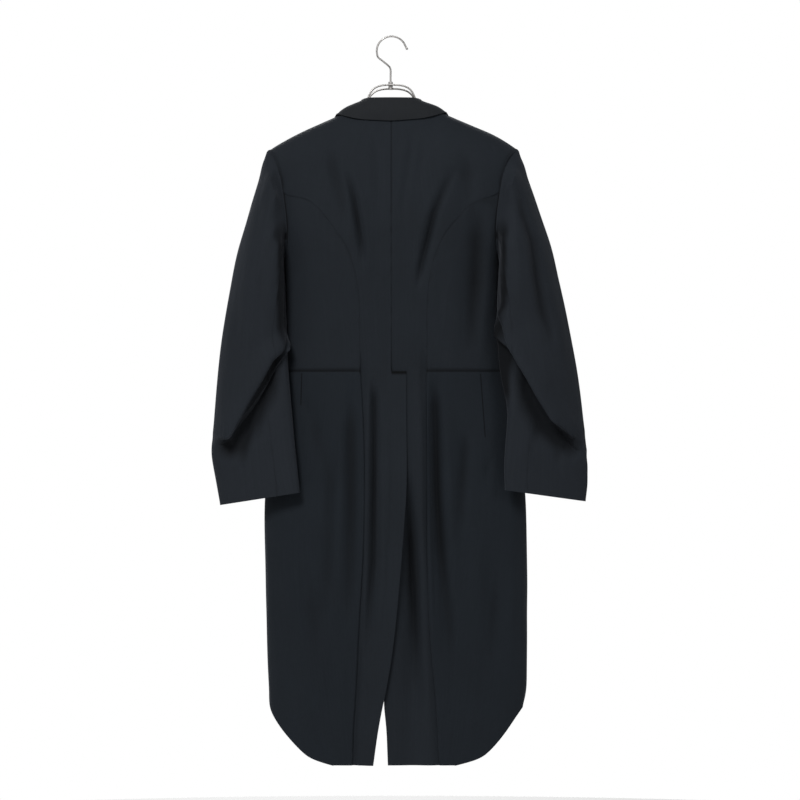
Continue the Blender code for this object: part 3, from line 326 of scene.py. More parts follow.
def body_grain(places):
    """Return how far round the body and how far down each point is."""
    turn = np.arctan2(places[:, 0] / GIRTH["across"], places[:, 1] / GIRTH["deep"])
    return GIRTH["round"] * turn, places[:, 2]


def press_panel(panel, places, height, armhole=None):
    """Fold a panel of the body, press its seams in and lay its weave."""
    height = seam_dip(panel, places, height, armhole)
    lay_weave(panel, *body_grain(places))
    set_points(panel, places + off_body(places) * height[:, None])


def new_material(name):
    """Start a material, and return it with its nodes, its links and its shader."""
    material = bpy.data.materials.new(name)
    material.use_nodes = True
    tree = material.node_tree
    return material, tree.nodes, tree.links, tree.nodes["Principled BSDF"]


def new_group(name, given, result):
    """Start a node group; its sockets named Colour hold colours, and the others numbers."""
    group = bpy.data.node_groups.new(name, "ShaderNodeTree")
    for way, names in (("INPUT", given), ("OUTPUT", result)):
        for socket in names:
            kind = "NodeSocketColor" if socket == "Colour" else "NodeSocketFloat"
            group.interface.new_socket(socket, in_out=way, socket_type=kind)
    return group


def give(node, values):
    """Set a node's inputs by their names."""
    for name, value in values.items():
        node.inputs[name].default_value = value


def maths(tree, operation, *values):
    """Add a Math node, give it sockets or numbers, and return its output."""
    node = tree.nodes.new("ShaderNodeMath")
    node.operation = operation
    for socket, value in zip(node.inputs, values):
        if isinstance(value, (int, float)):
            socket.default_value = value
        else:
            tree.links.new(value, socket)
    return node.outputs[0]


def weave_group():
    """Build the effect of a worsted twill: fine ribs, streaks of yarn and soft wear."""
    group = new_group("worsted twill", ("Colour", "Streaks", "Rib angle per metre"),
                      ("Colour", "Roughness", "Height", "Unevenness"))
    nodes, links = group.nodes, group.links
    given = nodes.new("NodeGroupInput")
    out = nodes.new("NodeGroupOutput")
    grain = nodes.new("ShaderNodeUVMap")
    place = nodes.new("ShaderNodeTexCoord")

    def noise(vector, scale, detail, roughness):
        node = nodes.new("ShaderNodeTexNoise")
        give(node, {"Scale": scale, "Detail": detail, "Roughness": roughness})
        links.new(vector, node.inputs["Vector"])
        return node.outputs["Fac"]

    def stretched(vector, scale):
        node = nodes.new("ShaderNodeMapping")
        give(node, {"Scale": scale})
        links.new(vector, node.inputs["Vector"])
        return node.outputs[0]

    def around_zero(value, size):
        return maths(group, "MULTIPLY", maths(group, "SUBTRACT", value, 0.5), size)

    split = nodes.new("ShaderNodeSeparateXYZ")
    links.new(grain.outputs["UV"], split.inputs[0])
    slanted = maths(group, "MULTIPLY", split.outputs["Y"], TWILL["slant"])
    diagonal = maths(group, "ADD", split.outputs["X"], slanted)
    angle = maths(group, "MULTIPLY", diagonal, given.outputs["Rib angle per metre"])
    ribs = maths(group, "SINE", angle)
    streak = noise(stretched(grain.outputs["UV"], STREAK_STRETCH), 1.0, 3.0, 0.6)
    fuzz = noise(place.outputs["Object"], 900.0, 2.0, 0.7)
    wear = noise(place.outputs["Object"], 9.0, 4.0, 0.55)
    uneven = noise(stretched(place.outputs["Object"], HANG_STRETCH), 26.0, 3.0, 0.5)
    links.new(uneven, out.inputs["Unevenness"])

    streaks = around_zero(streak, given.outputs["Streaks"])
    patches = around_zero(wear, TWILL["wear"])
    specks = around_zero(fuzz, TWILL["speck"])
    rib_tone = maths(group, "MULTIPLY", ribs, TWILL["rib"])
    tone = maths(group, "ADD", maths(group, "ADD", streaks, patches),
                 maths(group, "ADD", specks, rib_tone))
    tint = nodes.new("ShaderNodeVectorMath")
    tint.operation = "SCALE"
    links.new(given.outputs["Colour"], tint.inputs[0])
    links.new(maths(group, "ADD", tone, 1.0), tint.inputs["Scale"])
    links.new(tint.outputs[0], out.inputs["Colour"])
    rough = maths(group, "ADD", maths(group, "MULTIPLY", tone, 0.12), 0.8)
    links.new(rough, out.inputs["Roughness"])
    raised = maths(group, "ADD", maths(group, "MULTIPLY", ribs, 0.5),
                   maths(group, "MULTIPLY", fuzz, 0.8))
    raised = maths(group, "ADD", raised, maths(group, "MULTIPLY", streak, 0.9))
    links.new(raised, out.inputs["Height"])
    return group


twill = weave_group()


def worsted(name, colour, streaks=0.30):
    """Make the cloth's material: a dark matte twill with a faint sheen at its edges."""
    material, nodes, links, shader = new_material(name)
    weave = nodes.new("ShaderNodeGroup")
    weave.node_tree = twill
    give(weave, {"Colour": (*colour, 1), "Streaks": streaks, "Rib angle per metre": TWILL["ribs"]})
    threads, hang = (nodes.new("ShaderNodeBump") for bump in range(2))
    for bump, reach in ((threads, BUMPS["threads"]), (hang, BUMPS["hang"])):
        give(bump, {"Strength": BUMPS["strength"], "Distance": reach * MM})
    # the line attribute holds how dark each seam is, and the painted shade of deep folds, of the
    # armhole and of the gap between sleeve and body
    line = nodes.new("ShaderNodeAttribute")
    line.attribute_name = "line"
    shade = nodes.new("ShaderNodeMix")
    shade.name = "seam lines and painted shade"
    shade.data_type = "RGBA"
    give(shade, {"B": (*SEAM_AND_PAINTED_SHADE_COLOUR, 1)})
    links.new(line.outputs["Fac"], shade.inputs["Factor"])
    links.new(weave.outputs["Colour"], shade.inputs["A"])
    links.new(shade.outputs["Result"], shader.inputs["Base Color"])
    links.new(weave.outputs["Roughness"], shader.inputs["Roughness"])
    links.new(weave.outputs["Height"], threads.inputs["Height"])
    links.new(weave.outputs["Unevenness"], hang.inputs["Height"])
    links.new(hang.outputs["Normal"], threads.inputs["Normal"])
    links.new(threads.outputs["Normal"], shader.inputs["Normal"])
    give(shader, {"Specular IOR Level": 0.10, "Sheen Weight": 0.06, "Sheen Roughness": 0.45,
                  "Sheen Tint": (*SHEEN_COLOUR, 1)})
    return material


def finish_cloth(piece, node_name, material):
    """Put the material on a cloth piece, hide the solid it is made from and hang it on the root."""
    piece.data.materials.clear()
    piece.data.materials.append(material)
    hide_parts(node_name)
    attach(piece, "root")


back_cloth = worsted("back worsted", BACK_COLOUR)
for node_name, tables in BACK_FOLDS.items():
    panel = dress(node_name, f"cloth_{node_name}", levels=3)
    places = points_of(panel)
    armhole = (np.abs(places[:, 0]) > ARMHOLE_X) & (places[:, 2] > ARMPIT_Z)
    press_panel(panel, places, folds(places, tables, 1), armhole)
    if node_name == "back_left":
        line = values_of(panel, "line")
        line[(places[:, 0] < 0) & (np.abs(places[:, 2] - WAIST_Z) < VENT_LINE)] = VENT_TONE
        keep_values(panel, "line", line)
    finish_cloth(panel, node_name, back_cloth)

# The side bodies. The same worsted, between the curved side-body seam and the under-arm seam,
# from the armhole down to the waist seam, eased in and pressed at every seam.

SIDE_FOLDS = {
    "side_body_left": (
        ((-262, 140, 6, 0), (-285, 133, 6, -1.2), (-315, 124, 7, 0)),
        ((-285, 112, 5, 0), (-315, 104, 5, -0.9), (-350, 96, 6, 0)),
        ((-330, 150, 12, 0), (-420, 146, 14, -1.6), (-520, 142, 13, 0)),
        ((-400, 96, 12, 0), (-470, 94, 12, 1.1), (-535, 92, 12, 0)),
    ),
    "side_body_right": (
        ((-262, -142, 6, 0), (-285, -134, 6, -1), (-312, -124, 7, 0)),
        ((-270, -142, 13, 0), (-330, -139, 14, -7.4), (-400, -137, 14, -8.6), (-470, -132, 13, -5),
         (-530, -130, 13, 0)),
        ((-330, -104, 10, 0), (-400, -102, 12, 1.4), (-500, -100, 12, 0)),
        ((-380, -78, 7, 0), (-430, -78, 7, -0.9), (-490, -79, 7, 0)),
    ),
}
for node_name, tables in SIDE_FOLDS.items():
    panel = dress(node_name, f"cloth_{node_name}")
    places = points_of(panel)
    press_panel(panel, places, folds(places, tables, 1))
    finish_cloth(panel, node_name, back_cloth)

# The skirts. Worsted cut with the grain down, pleated under at the back and cut away at the
# front, sewn to the body at the waist seam, with a dart over each hip and a plain turned hem.

SKIRT_COLOUR = (0.0087, 0.0115, 0.0152)
SKIRT_FOLDS = {
    "skirt_left": (
        ((-565, 62, 9, 0), (-640, 66, 11, -6.4), (-760, 66, 12, -7.2), (-880, 68, 12, -4.6),
         (-980, 72, 11, 0)),
        ((-600, 84, 9, 0), (-690, 80, 9, 3.2), (-830, 84, 10, 2.6), (-960, 90, 12, 0)),
        ((-640, 104, 12, 0), (-730, 98, 12, -4.6), (-860, 100, 13, -4), (-960, 104, 13, 0)),
        ((-560, 126, 12, 0), (-640, 122, 12, -3.6), (-720, 118, 12, 0)),
        ((-800, 132, 18, 0), (-930, 128, 18, -3.4), (-1090, 120, 16, 0)),
        ((-740, 168, 14, 0), (-900, 164, 14, 3), (-1040, 158, 14, 0)),
        ((-585, 142, 6, 0), (-600, 139, 6, -2), (-622, 134, 6, 0)),
        ((-960, 86, 9, 0), (-1040, 84, 10, 2.2), (-1140, 82, 10, 0)),
        ((-990, 104, 8, 0), (-1060, 102, 8, -1.8), (-1130, 98, 8, 0)),
    ),
    "skirt_right": (
        ((-552, -71, 6, 0), (-600, -72, 8, -8), (-740, -75, 8.5, -10.5), (-830, -81, 9, -9),
         (-920, -90, 9, -5), (-1010, -94, 10, 0)),
        ((-600, -61, 3.5, 0), (-740, -61.5, 3.5, 1.6), (-900, -64.5, 3.5, 1.6), (-1000, -70, 5, 0)),
        ((-580, -92, 9, 0), (-680, -92, 9, 3), (-800, -98, 10, 2.6), (-900, -108, 12, 0)),
        ((-630, -118, 8, 0), (-668, -120, 9, -5.4), (-716, -116, 9, -6), (-780, -112, 10, -3.8),
         (-830, -112, 9, 0)),
        ((-670, -160, 7, 0), (-700, -156, 7, -2.8), (-740, -154, 8, 0)),
        ((-780, -140, 15, 0), (-880, -138, 15, 3), (-1000, -140, 15, 0)),
        ((-820, -168, 14, 0), (-930, -166, 14, -4), (-1080, -158, 14, 0)),
        ((-900, -98, 7, 0), (-960, -98, 7, -2.4), (-1040, -98, 8, -1.8), (-1120, -96, 8, 0)),
        ((-760, -196, 10, 0), (-900, -196, 10, 2.4), (-1060, -190, 10, 0)),
    ),
}
SKIRT_FRONT_FOLDS = {
    "skirt_left": (
        ((-560, 70, 16, 0), (-680, 84, 17, -2.6), (-860, 118, 18, -1.8), (-960, 130, 18, 0)),
        ((-600, 130, 18, 0), (-760, 140, 18, 2.4), (-980, 158, 18, 0)),
    ),
    "skirt_right": (
        ((-560, -62, 15, 0), (-700, -88, 17, -2.2), (-880, -126, 18, -1.6), (-980, -140, 18, 0)),
        ((-580, -136, 18, 0), (-740, -150, 18, 2.2), (-940, -166, 18, 0)),
    ),
}
# z, the side pleat's distance from the centre on the left and on the right
PLEATS = ((-543, 51, 57.5), (-622, 46.5, 58), (-703, 44.5, 58.5), (-785, 45, 58.5), (-849, 47, 59),
          (-914, 51, 61), (-978, 54.5, 64), (-1043, 57.5, 70), (-1084, 60, 73), (-1124, 62.5, 75.5),
          (-1181, 64, 78.5))
PLEAT_EASE = 4              # over this way the cloth under the skirt takes up the skirt's folds
DART_WIDTH = 1.4            # from its middle to where it fades out
DART_COLOUR = (0.001, 0.0014, 0.002)
# x and z at a dart's top, x and z at its point
DARTS = {"skirt_left": ((145, -546), (146.5, -598)), "skirt_right": ((-144, -547), (-151.5, -650))}


def dart_group():
    """Build a thin pressed line between two points seen from the back."""
    group = new_group("pressed dart", ("Top x", "Top z", "Point x", "Point z", "Width"), ("Mask",))
    nodes, links = group.nodes, group.links
    given = nodes.new("NodeGroupInput")
    out = nodes.new("NodeGroupOutput")
    place = nodes.new("ShaderNodeTexCoord")
    split = nodes.new("ShaderNodeSeparateXYZ")
    links.new(place.outputs["Object"], split.inputs[0])

    top_z, top_x = given.outputs["Top z"], given.outputs["Top x"]
    tall = maths(group, "SUBTRACT", top_z, given.outputs["Point z"])
    share = maths(group, "DIVIDE", maths(group, "SUBTRACT", top_z, split.outputs["Z"]), tall)
    lean = maths(group, "SUBTRACT", given.outputs["Point x"], top_x)
    middle = maths(group, "ADD", top_x, maths(group, "MULTIPLY", lean, share))
    away = maths(group, "ABSOLUTE", maths(group, "SUBTRACT", split.outputs["X"], middle))
    away = maths(group, "MINIMUM", maths(group, "DIVIDE", away, given.outputs["Width"]), 1.0)
    inside = maths(group, "MULTIPLY", maths(group, "GREATER_THAN", share, 0.0),
                   maths(group, "LESS_THAN", share, 1.0))
    behind = maths(group, "GREATER_THAN", split.outputs["Y"], 0.0)
    mask = maths(group, "MULTIPLY", maths(group, "SUBTRACT", 1.0, away), inside)
    links.new(maths(group, "MULTIPLY", mask, behind), out.inputs["Mask"])
    return group


dart_line = dart_group()
for node_name, tables in SKIRT_FOLDS.items():
    side = node_name.removeprefix("skirt_")
    panel = dress(node_name, f"cloth_{node_name}", levels=3)
    places = points_of(panel)
    height = folds(places, tables, 1) + folds(places, SKIRT_FRONT_FOLDS[node_name], -1)
    press_panel(panel, places, height)
    skirt_cloth = worsted(f"skirt worsted {side}", SKIRT_COLOUR, 0.34)
    nodes, links = skirt_cloth.node_tree.nodes, skirt_cloth.node_tree.links
    dart = nodes.new("ShaderNodeGroup")
    dart.node_tree = dart_line
    (top_x, top_z), (point_x, point_z) = DARTS[node_name]
    give(dart, {"Top x": top_x * MM, "Top z": top_z * MM, "Point x": point_x * MM,
                "Point z": point_z * MM, "Width": DART_WIDTH * MM})
    pressed = nodes.new("ShaderNodeMix")
    pressed.data_type = "RGBA"
    give(pressed, {"B": (*DART_COLOUR, 1)})
    links.new(dart.outputs["Mask"], pressed.inputs["Factor"])
    links.new(nodes["seam lines and painted shade"].outputs["Result"], pressed.inputs["A"])
    links.new(pressed.outputs["Result"], nodes["Principled BSDF"].inputs["Base Color"])
    finish_cloth(panel, node_name, skirt_cloth)

    # The side pleat's extension of the back panel lies under the skirt, in the same folds.
    extension = bpy.data.objects[f"cloth_back_{side}"]
    places = points_of(extension)
    z, left, right = np.array(PLEATS, float).T
    pleat = np.interp(-places[:, 2], -z, left if side == "left" else right)
    beyond = np.clip((np.abs(places[:, 0]) - pleat + PLEAT_EASE) / PLEAT_EASE, 0, 1)
    beyond *= places[:, 2] < WAIST_Z
    pressed = np.minimum(folds(places, tables, 1), 0) * beyond
    set_points(extension, places + off_body(places) * pressed[:, None])

# The vent's tack. A short row of hand stitches in black silk thread across the top of the vent,
# which holds the left tail's flap down on the right one.

THREAD_COLOUR = (0.004, 0.005, 0.007)
THREAD_SIDES = 10
TACK = {"stitches": 5, "from": -1.0, "to": -21.0, "z": -547.0, "length": 3.1, "radius": 0.32,
        "soft": 0.12}
thread, thread_nodes, thread_links, silk = new_material("black silk thread")
twist = thread_nodes.new("ShaderNodeTexWave")
twist_place = thread_nodes.new("ShaderNodeTexCoord")
twist_tone = thread_nodes.new("ShaderNodeMapRange")
give(twist, {"Scale": 900})
give(twist_tone, {"To Min": 0.7, "To Max": 0.9})
give(silk, {"Base Color": (*THREAD_COLOUR, 1), "Specular IOR Level": 0.12})
thread_links.new(twist_place.outputs["Object"], twist.inputs["Vector"])
thread_links.new(twist.outputs["Fac"], twist_tone.inputs["Value"])
thread_links.new(twist_tone.outputs["Result"], silk.inputs["Roughness"])


def add_strand(radius, length, soft):
    """Add a short strand of thread along z, with soft ends."""
    bpy.ops.object.select_all(action="DESELECT")
    bpy.ops.mesh.primitive_cylinder_add(vertices=THREAD_SIDES, radius=radius * MM,
                                        depth=length * MM)
    strand = bpy.context.object
    bevel = strand.modifiers.new("soft ends", "BEVEL")
    bevel.width = soft * MM
    bevel.segments = 2
    bpy.ops.object.modifier_apply(modifier=bevel.name)
    return strand


def sew_on(strands, name):
    """Join strands as one piece of black thread on a solid's place."""
    bpy.ops.object.select_all(action="DESELECT")
    for strand in strands:
        strand.select_set(True)
    bpy.context.view_layer.objects.active = strands[0]
    bpy.ops.object.join()
    strands[0].name = name
    strands[0].data.materials.append(thread)
    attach(strands[0], "root")


bpy.context.view_layer.update()
outer_back = bpy.data.objects["cloth_back_left"]
stitches = []
for k in range(TACK["stitches"]):
    share = (k + 0.5) / TACK["stitches"]
    x = TACK["from"] + (TACK["to"] - TACK["from"]) * share
    on_cloth = outer_back.ray_cast((x * MM, 0.2, TACK["z"] * MM), (0, -1, 0))[1]
    stitch = add_strand(TACK["radius"], TACK["length"], TACK["soft"])
    stitch.rotation_euler = (0, math.radians(90), 0)
    stitch.location = on_cloth
    bpy.ops.object.transform_apply(location=True, rotation=True, scale=True)
    stitches.append(stitch)
sew_on(stitches, "vent_tack")

# The sleeves. Two-piece worsted sleeves, a top one and an under one, sewn at the front and at the
# elbow and set into the armholes by hand, hanging flat with a deep crease over each elbow.

SLEEVE_COLOUR = (0.0122, 0.0149, 0.0191)
# z, x of the outer and the inner edge, y of the outer and the inner edge, half depth
SLEEVE_EDGES = {
    "left": ((-200, 207, 178, 3, 3, 50), (-285, 233.5, 172, 6, 3, 58), (-361, 251, 181, 9.5, 3, 66),
             (-411, 261, 181, 11.5, 10, 66), (-450, 268, 179, 13, 17, 60),
             (-480, 272.5, 175, 14, 30, 52), (-500, 275.5, 168, 14.7, 45, 44),
             (-548, 280.5, 166.5, 16, 51, 38), (-600, 285.5, 162, 17.5, 56, 30),
             (-650, 289.5, 157.5, 19, 60, 25), (-700, 287.5, 152, 20, 63, 19),
             (-750, 278.5, 147.5, 22, 66, 14)),
    "right": ((-200, 212, 178, 3, 3, 50), (-285, 243, 174, 6, 3, 58), (-359, 262.5, 181, 9.5, 3, 66),
              (-408, 273.5, 182, 11.5, 10, 66), (-446, 282, 180, 13, 20, 60),
              (-472, 287, 177, 14, 43, 52), (-500, 292.5, 185.5, 15, 48, 44),
              (-530, 298, 189, 16, 51, 40), (-590, 306, 188.5, 17.5, 56, 31),
              (-642, 312.5, 186, 19, 60, 25), (-690, 317, 182.5, 20, 63, 19),
              (-750, 314, 183, 22, 66, 14)),
}
SLEEVE_FOLDS = {
    "left": (
        ((-600, 224, 5, 0), (-632, 231, 6, -3.4), (-680, 238, 7, -3), (-725, 243, 8, 0)),
        ((-620, 240, 5, 0), (-650, 248, 5, 1.8), (-700, 256, 6, 0)),
        ((-575, 206, 6, 0), (-630, 212, 6, -1.8), (-700, 214, 7, 0)),
        ((-330, 204, 12, 0), (-400, 212, 12, -2.8), (-480, 216, 12, 0)),
        ((-400, 246, 9, 0), (-470, 252, 9, -2.4), (-540, 256, 9, 0)),
        ((-240, 206, 7, 0), (-290, 214, 7, -1.8), (-350, 222, 7, 0)),
        ((-460, 232, 8, 0), (-520, 236, 8, 2.2), (-580, 240, 8, 0)),
    ),
    "right": (
        ((-235, -205, 7, 0), (-290, -212, 9, -6), (-335, -229, 10, -8.2), (-395, -236, 10, -8.6),
         (-450, -246, 10, -7.2), (-480, -256, 9, -4), (-510, -262, 9, 0)),
        ((-280, -200, 8, 0), (-340, -203, 8, 2.6), (-410, -206, 8, 2), (-470, -209, 8, 0)),
        ((-440, -268, 9, 0), (-500, -274, 9, 2.6), (-570, -282, 9, 0)),
        ((-510, -240, 9, 0), (-555, -250, 10, 2.4), (-610, -262, 10, 0)),
        ((-600, -236, 6, 0), (-640, -232, 6, -2.2), (-700, -226, 6, 0)),
        ((-640, -262, 6, 0), (-680, -268, 6, -2), (-720, -270, 7, 0)),
        ((-560, -290, 9, 0), (-610, -296, 8, -2), (-650, -298, 8, 0)),
    ),
}
SLEEVE_FRONT_FOLDS = {
    "left": (((-330, 208, 10, 0), (-430, 214, 11, -2.6), (-530, 222, 11, 0)),
             ((-500, 246, 9, 0), (-570, 240, 9, -2.4), (-640, 226, 9, 0)),
             ((-560, 214, 8, 0), (-620, 222, 8, 1.6), (-700, 230, 8, 0))),
    "right": (((-330, -212, 10, 0), (-440, -222, 11, -2.6), (-540, -232, 11, 0)),
              ((-500, -262, 9, 0), (-580, -254, 9, -2.4), (-660, -240, 9, 0)),
              ((-560, -232, 8, 0), (-640, -246, 8, 1.6), (-710, -256, 8, 0))),
}
# z, how far the inner edge is drawn to the body
SLEEVE_DRAWS = {
    "left": ((-300, 0), (-318, 4), (-340, 7), (-368, 8.6), (-386, 9), (-411, 8.6), (-438, 8.2),
             (-462, 7.5), (-480, 5), (-500, 2), (-515, 0)),
    "right": ((-296, 0), (-314, 4.5), (-334, 7.5), (-366, 9), (-384, 9.2), (-408, 9), (-430, 8.4),
              (-446, 7.6), (-462, 8), (-487, 12), (-510, 14), (-535, 14.5), (-560, 10), (-590, 3),
              (-610, 0)),
}
DRAW_TURNS = (158, 115, 178)  # round the sleeve: its start behind, in front, and where it is whole
# x and z along the lip of the elbow's crease, from the body outwards
LIPS = {
    "left": ((160, -494), (174, -508), (192, -526), (208, -557), (227.6, -589.7), (245.4, -622),
             (262, -651), (294, -657)),
    "right": ((-174, -462), (-184, -492), (-201.7, -525), (-219.5, -557), (-237.3, -589.7),
              (-258.4, -622), (-297, -650), (-318, -668)),
}
# above its line the cloth rises ("height", "width") and slides over the crease ("slide", "from",
# "to"), and below it the cloth sinks ("depth", "reach")
LIP = {"height": 6.8, "width": 9.0, "depth": 13.0, "reach": 17.0, "above": 4.0,
       "slide": 9.0, "from": -6.0, "to": 5.0}
# the lip is gone from this angle round the sleeve on, and fades at its far end
LIP_ENDS = {"turn": 165, "over": 25, "share": 0.12}
SLEEVE_HEAD_X = 192         # seams nearer the body than this, above the arm pit: the armhole's
# between these heights in front, the under sleeve is one narrow strip that lies flat
GUSSET = {"x": 163, "top": -288, "bottom": -352}
HEAD = {"size": 4.6, "z": -202, "reach": 21, "from_x": 190, "over": 8}  # the head's fullness
# The shade between a sleeve and the body, where the cloth faces the body ("from", "to"), is drawn
# to it ("draw") and lies at the sleeve's inner edge ("inward", "over"), fading out in front.
CREVICE = {"tone": 0.85, "from": 0.4, "to": 0.75, "draw": 6, "inward": 0.72, "over": 0.08,
           "front": 3}
EVENED = (-188, -330, 4)    # top, bottom and rounds of the sleeve head's evening out
SIDE_EASE = 0.3             # of the half depth, over which a sleeve's back turns into its front
FOLD_SHIFT = 20             # past FOLD_EASE, so that a sleeve's folds are whole on both sides
SLEEVE_GRAIN = 60           # the grain's radius round the sleeve


def beside_line(places, line):
    """Return the signed distance above a line seen from the back, the way off it and the share."""
    line = np.array(line, float)
    steps = np.linalg.norm(np.diff(line, axis=0), axis=1)
    run = np.concatenate([[0], np.cumsum(steps)])
    nearest = np.full(len(places), np.inf)
    signed = np.zeros(len(places))
    share = np.zeros(len(places))
    across = np.zeros((len(places), 2))
    for start, end, size, before in zip(line, line[1:], steps, run):
        way = (end - start) / size
        upward = np.array((-way[1], way[0])) * np.sign(way[0])
        apart = places[:, (0, 2)] - start
        along = np.clip(apart @ way, 0, size)
        away = np.linalg.norm(apart - along[:, None] * way, axis=1)
        closer = away < nearest
        nearest = np.where(closer, away, nearest)
        signed = np.where(closer, np.sign(apart @ upward) * away, signed)
        share = np.where(closer, (before + along) / run[-1], share)
        across[closer] = upward
    return signed, across, share


sleeve_cloth = worsted("sleeve worsted", SLEEVE_COLOUR)
for side in ("left", "right"):
    outer = 1 if side == "left" else -1
    edge_z, *edges = np.array(SLEEVE_EDGES[side], float).T
    draw_z, draw = np.array(SLEEVE_DRAWS[side], float).T
    for layer in ("top", "under"):
        node_name = f"{layer}_sleeve_{side}"
        panel = dress(node_name, f"cloth_{node_name}", levels=3, evened=EVENED)
        places = points_of(panel)
        down = -places[:, 2]
        outer_x, inner_x, outer_y, inner_y, depth = (
            np.interp(down, -edge_z, edge) for edge in edges)
        inward = (outer_x - outer * places[:, 0]) / (outer_x - inner_x)
        from_x = outer * (1 - 2 * inward) * (outer_x - inner_x) / 2
        from_y = places[:, 1] - outer_y - (inner_y - outer_y) * inward
        out = np.stack([from_x / (outer_x - inner_x) ** 2 * 4, from_y / depth ** 2, 0 * down], axis=-1)
        out /= np.maximum(np.linalg.norm(out, axis=1, keepdims=True), 1e-6)
        facing = np.clip(from_y / (SIDE_EASE * depth), -1, 1)
        shifted = np.stack([places[:, 0], facing * FOLD_SHIFT, places[:, 2]], axis=-1)
        height = folds(shifted, SLEEVE_FOLDS[side], 1)
        height += folds(shifted, SLEEVE_FRONT_FOLDS[side], -1)
        armhole = (np.abs(places[:, 0]) < SLEEVE_HEAD_X) & (places[:, 2] > ARMPIT_Z)
        armhole &= (from_y > 0) | (places[:, 2] > GUSSET["top"])
        gusset = (from_y < 0) & (np.abs(places[:, 0]) > GUSSET["x"])
        gusset &= (places[:, 2] < GUSSET["top"]) & (places[:, 2] > GUSSET["bottom"])
        off, across, share = beside_line(places, LIPS[side])
        off -= LIP["above"]
        size = np.where(off > 0, LIP["height"], LIP["depth"])
        over = off / np.where(off > 0, LIP["width"], LIP["reach"])
        lip = size * over * np.exp(0.5 - over ** 2 / 2) * np.clip(facing, 0, 1)
        turn = np.arctan2(from_y / depth, 1 - 2 * inward)
        ends = np.clip((math.radians(LIP_ENDS["turn"]) - turn) / math.radians(LIP_ENDS["over"]), 0, 1)
        ends *= np.clip((1 - share) / LIP_ENDS["share"], 0, 1)
        height = seam_dip(panel, places, height + lip * ends, armhole, gusset)
        risen = np.clip((off - LIP["from"]) / (LIP["to"] - LIP["from"]), 0, 1)
        risen = risen ** 2 * (3 - 2 * risen)
        risen *= np.exp(-(np.maximum(off - LIP["to"], 0) / LIP["width"]) ** 2)
        slide = LIP["slide"] * risen * ends * np.clip(facing, 0, 1)
        places[:, (0, 2)] -= slide[:, None] * across
        lay_weave(panel, SLEEVE_GRAIN * turn, places[:, 2])
        drawn = np.interp(down, -draw_z, draw)
        behind, front, whole = (math.radians(angle) for angle in DRAW_TURNS)
        start = np.where(turn > 0, behind, front)
        near_edge = np.clip((np.abs(turn) - start) / (whole - start), 0, 1)
        places[:, 0] -= outer * drawn * np.where(turn > 0, near_edge, np.sqrt(near_edge))
        toward = np.zeros(3 * len(places))
        panel.data.vertex_normals.foreach_get("vector", toward)
        crevice = -outer * toward[::3] - CREVICE["from"]
        crevice = np.clip(crevice / (CREVICE["to"] - CREVICE["from"]), 0, 1)
        crevice *= CREVICE["tone"] * np.clip(drawn / CREVICE["draw"], 0, 1)
        crevice *= (np.clip(1 + CREVICE["front"] * facing, 0, 1)
                    * np.clip((inward - CREVICE["inward"]) / CREVICE["over"], 0, 1))
        keep_values(panel, "line", np.maximum(values_of(panel, "line"), crevice))
        head = HEAD["size"] * np.exp(-((places[:, 2] - HEAD["z"]) / HEAD["reach"]) ** 2)
        head *= (1 - values_of(panel, "seam"))
        head *= np.clip((outer * places[:, 0] - HEAD["from_x"]) / HEAD["over"], 0, 1)
        places[:, 0] += outer * head
        set_points(panel, places + out * height[:, None])
        finish_cloth(panel, node_name, sleeve_cloth)

# The foreparts. The fronts of the coat, worsted over canvas, sewn at the shoulder, the under-arm
# and the waist seam, with the left one buttoned over the right one.

FRONT_FOLDS = {
    "forepart_left": (
        ((-190, 138, 16, 0), (-280, 130, 18, -2.2), (-380, 118, 18, -1.4), (-470, 108, 18, 0)),
        ((-400, 60, 10, 0), (-460, 44, 10, -1.3), (-500, 30, 10, 0)),
        ((-300, 108, 12, 0), (-400, 96, 12, 1.6), (-520, 88, 12, 0)),
    ),
    "forepart_right": (
        ((-190, -140, 16, 0), (-270, -134, 18, -2), (-390, -120, 18, -1.6), (-480, -108, 18, 0)),
        ((-400, -64, 10, 0), (-455, -46, 10, -1.2), (-500, -32, 10, 0)),
        ((-310, -104, 12, 0), (-410, -96, 12, 1.4), (-520, -84, 12, 0)),
    ),
}
FRONT_CLEAR = {"from": 45, "over": 30}  # the buttoned edges lie flat
front_cloth = worsted("front worsted", BACK_COLOUR)
for node_name, tables in FRONT_FOLDS.items():
    panel = dress(node_name, f"cloth_{node_name}")
    places = points_of(panel)
    clear = np.clip((np.abs(places[:, 0]) - FRONT_CLEAR["from"]) / FRONT_CLEAR["over"], 0, 1)
    press_panel(panel, places, folds(places, tables, -1) * clear)
    finish_cloth(panel, node_name, front_cloth)

# The lapels. The turned-back tops of the fronts, pressed flat, with a peak at the top.

LAPEL_COLOUR = (0.0114, 0.0141, 0.0180)
LAPEL_GRAIN = (0.9, 0.3)    # the grain leans as the lapel's edge does
lapel_cloth = worsted("lapel worsted", LAPEL_COLOUR)
for side in ("left", "right"):
    panel = dress(f"lapel_{side}", f"cloth_lapel_{side}", sewn=False)
    places = points_of(panel)
    across = LAPEL_GRAIN[0] * places[:, 0] + LAPEL_GRAIN[1] * places[:, 2]
    lay_weave(panel, across, places[:, 2])
    finish_cloth(panel, f"lapel_{side}", lapel_cloth)

# The collar. One folded piece of worsted over a felt under-collar: it stands round the neck, rolls
# over and falls on the shoulders.

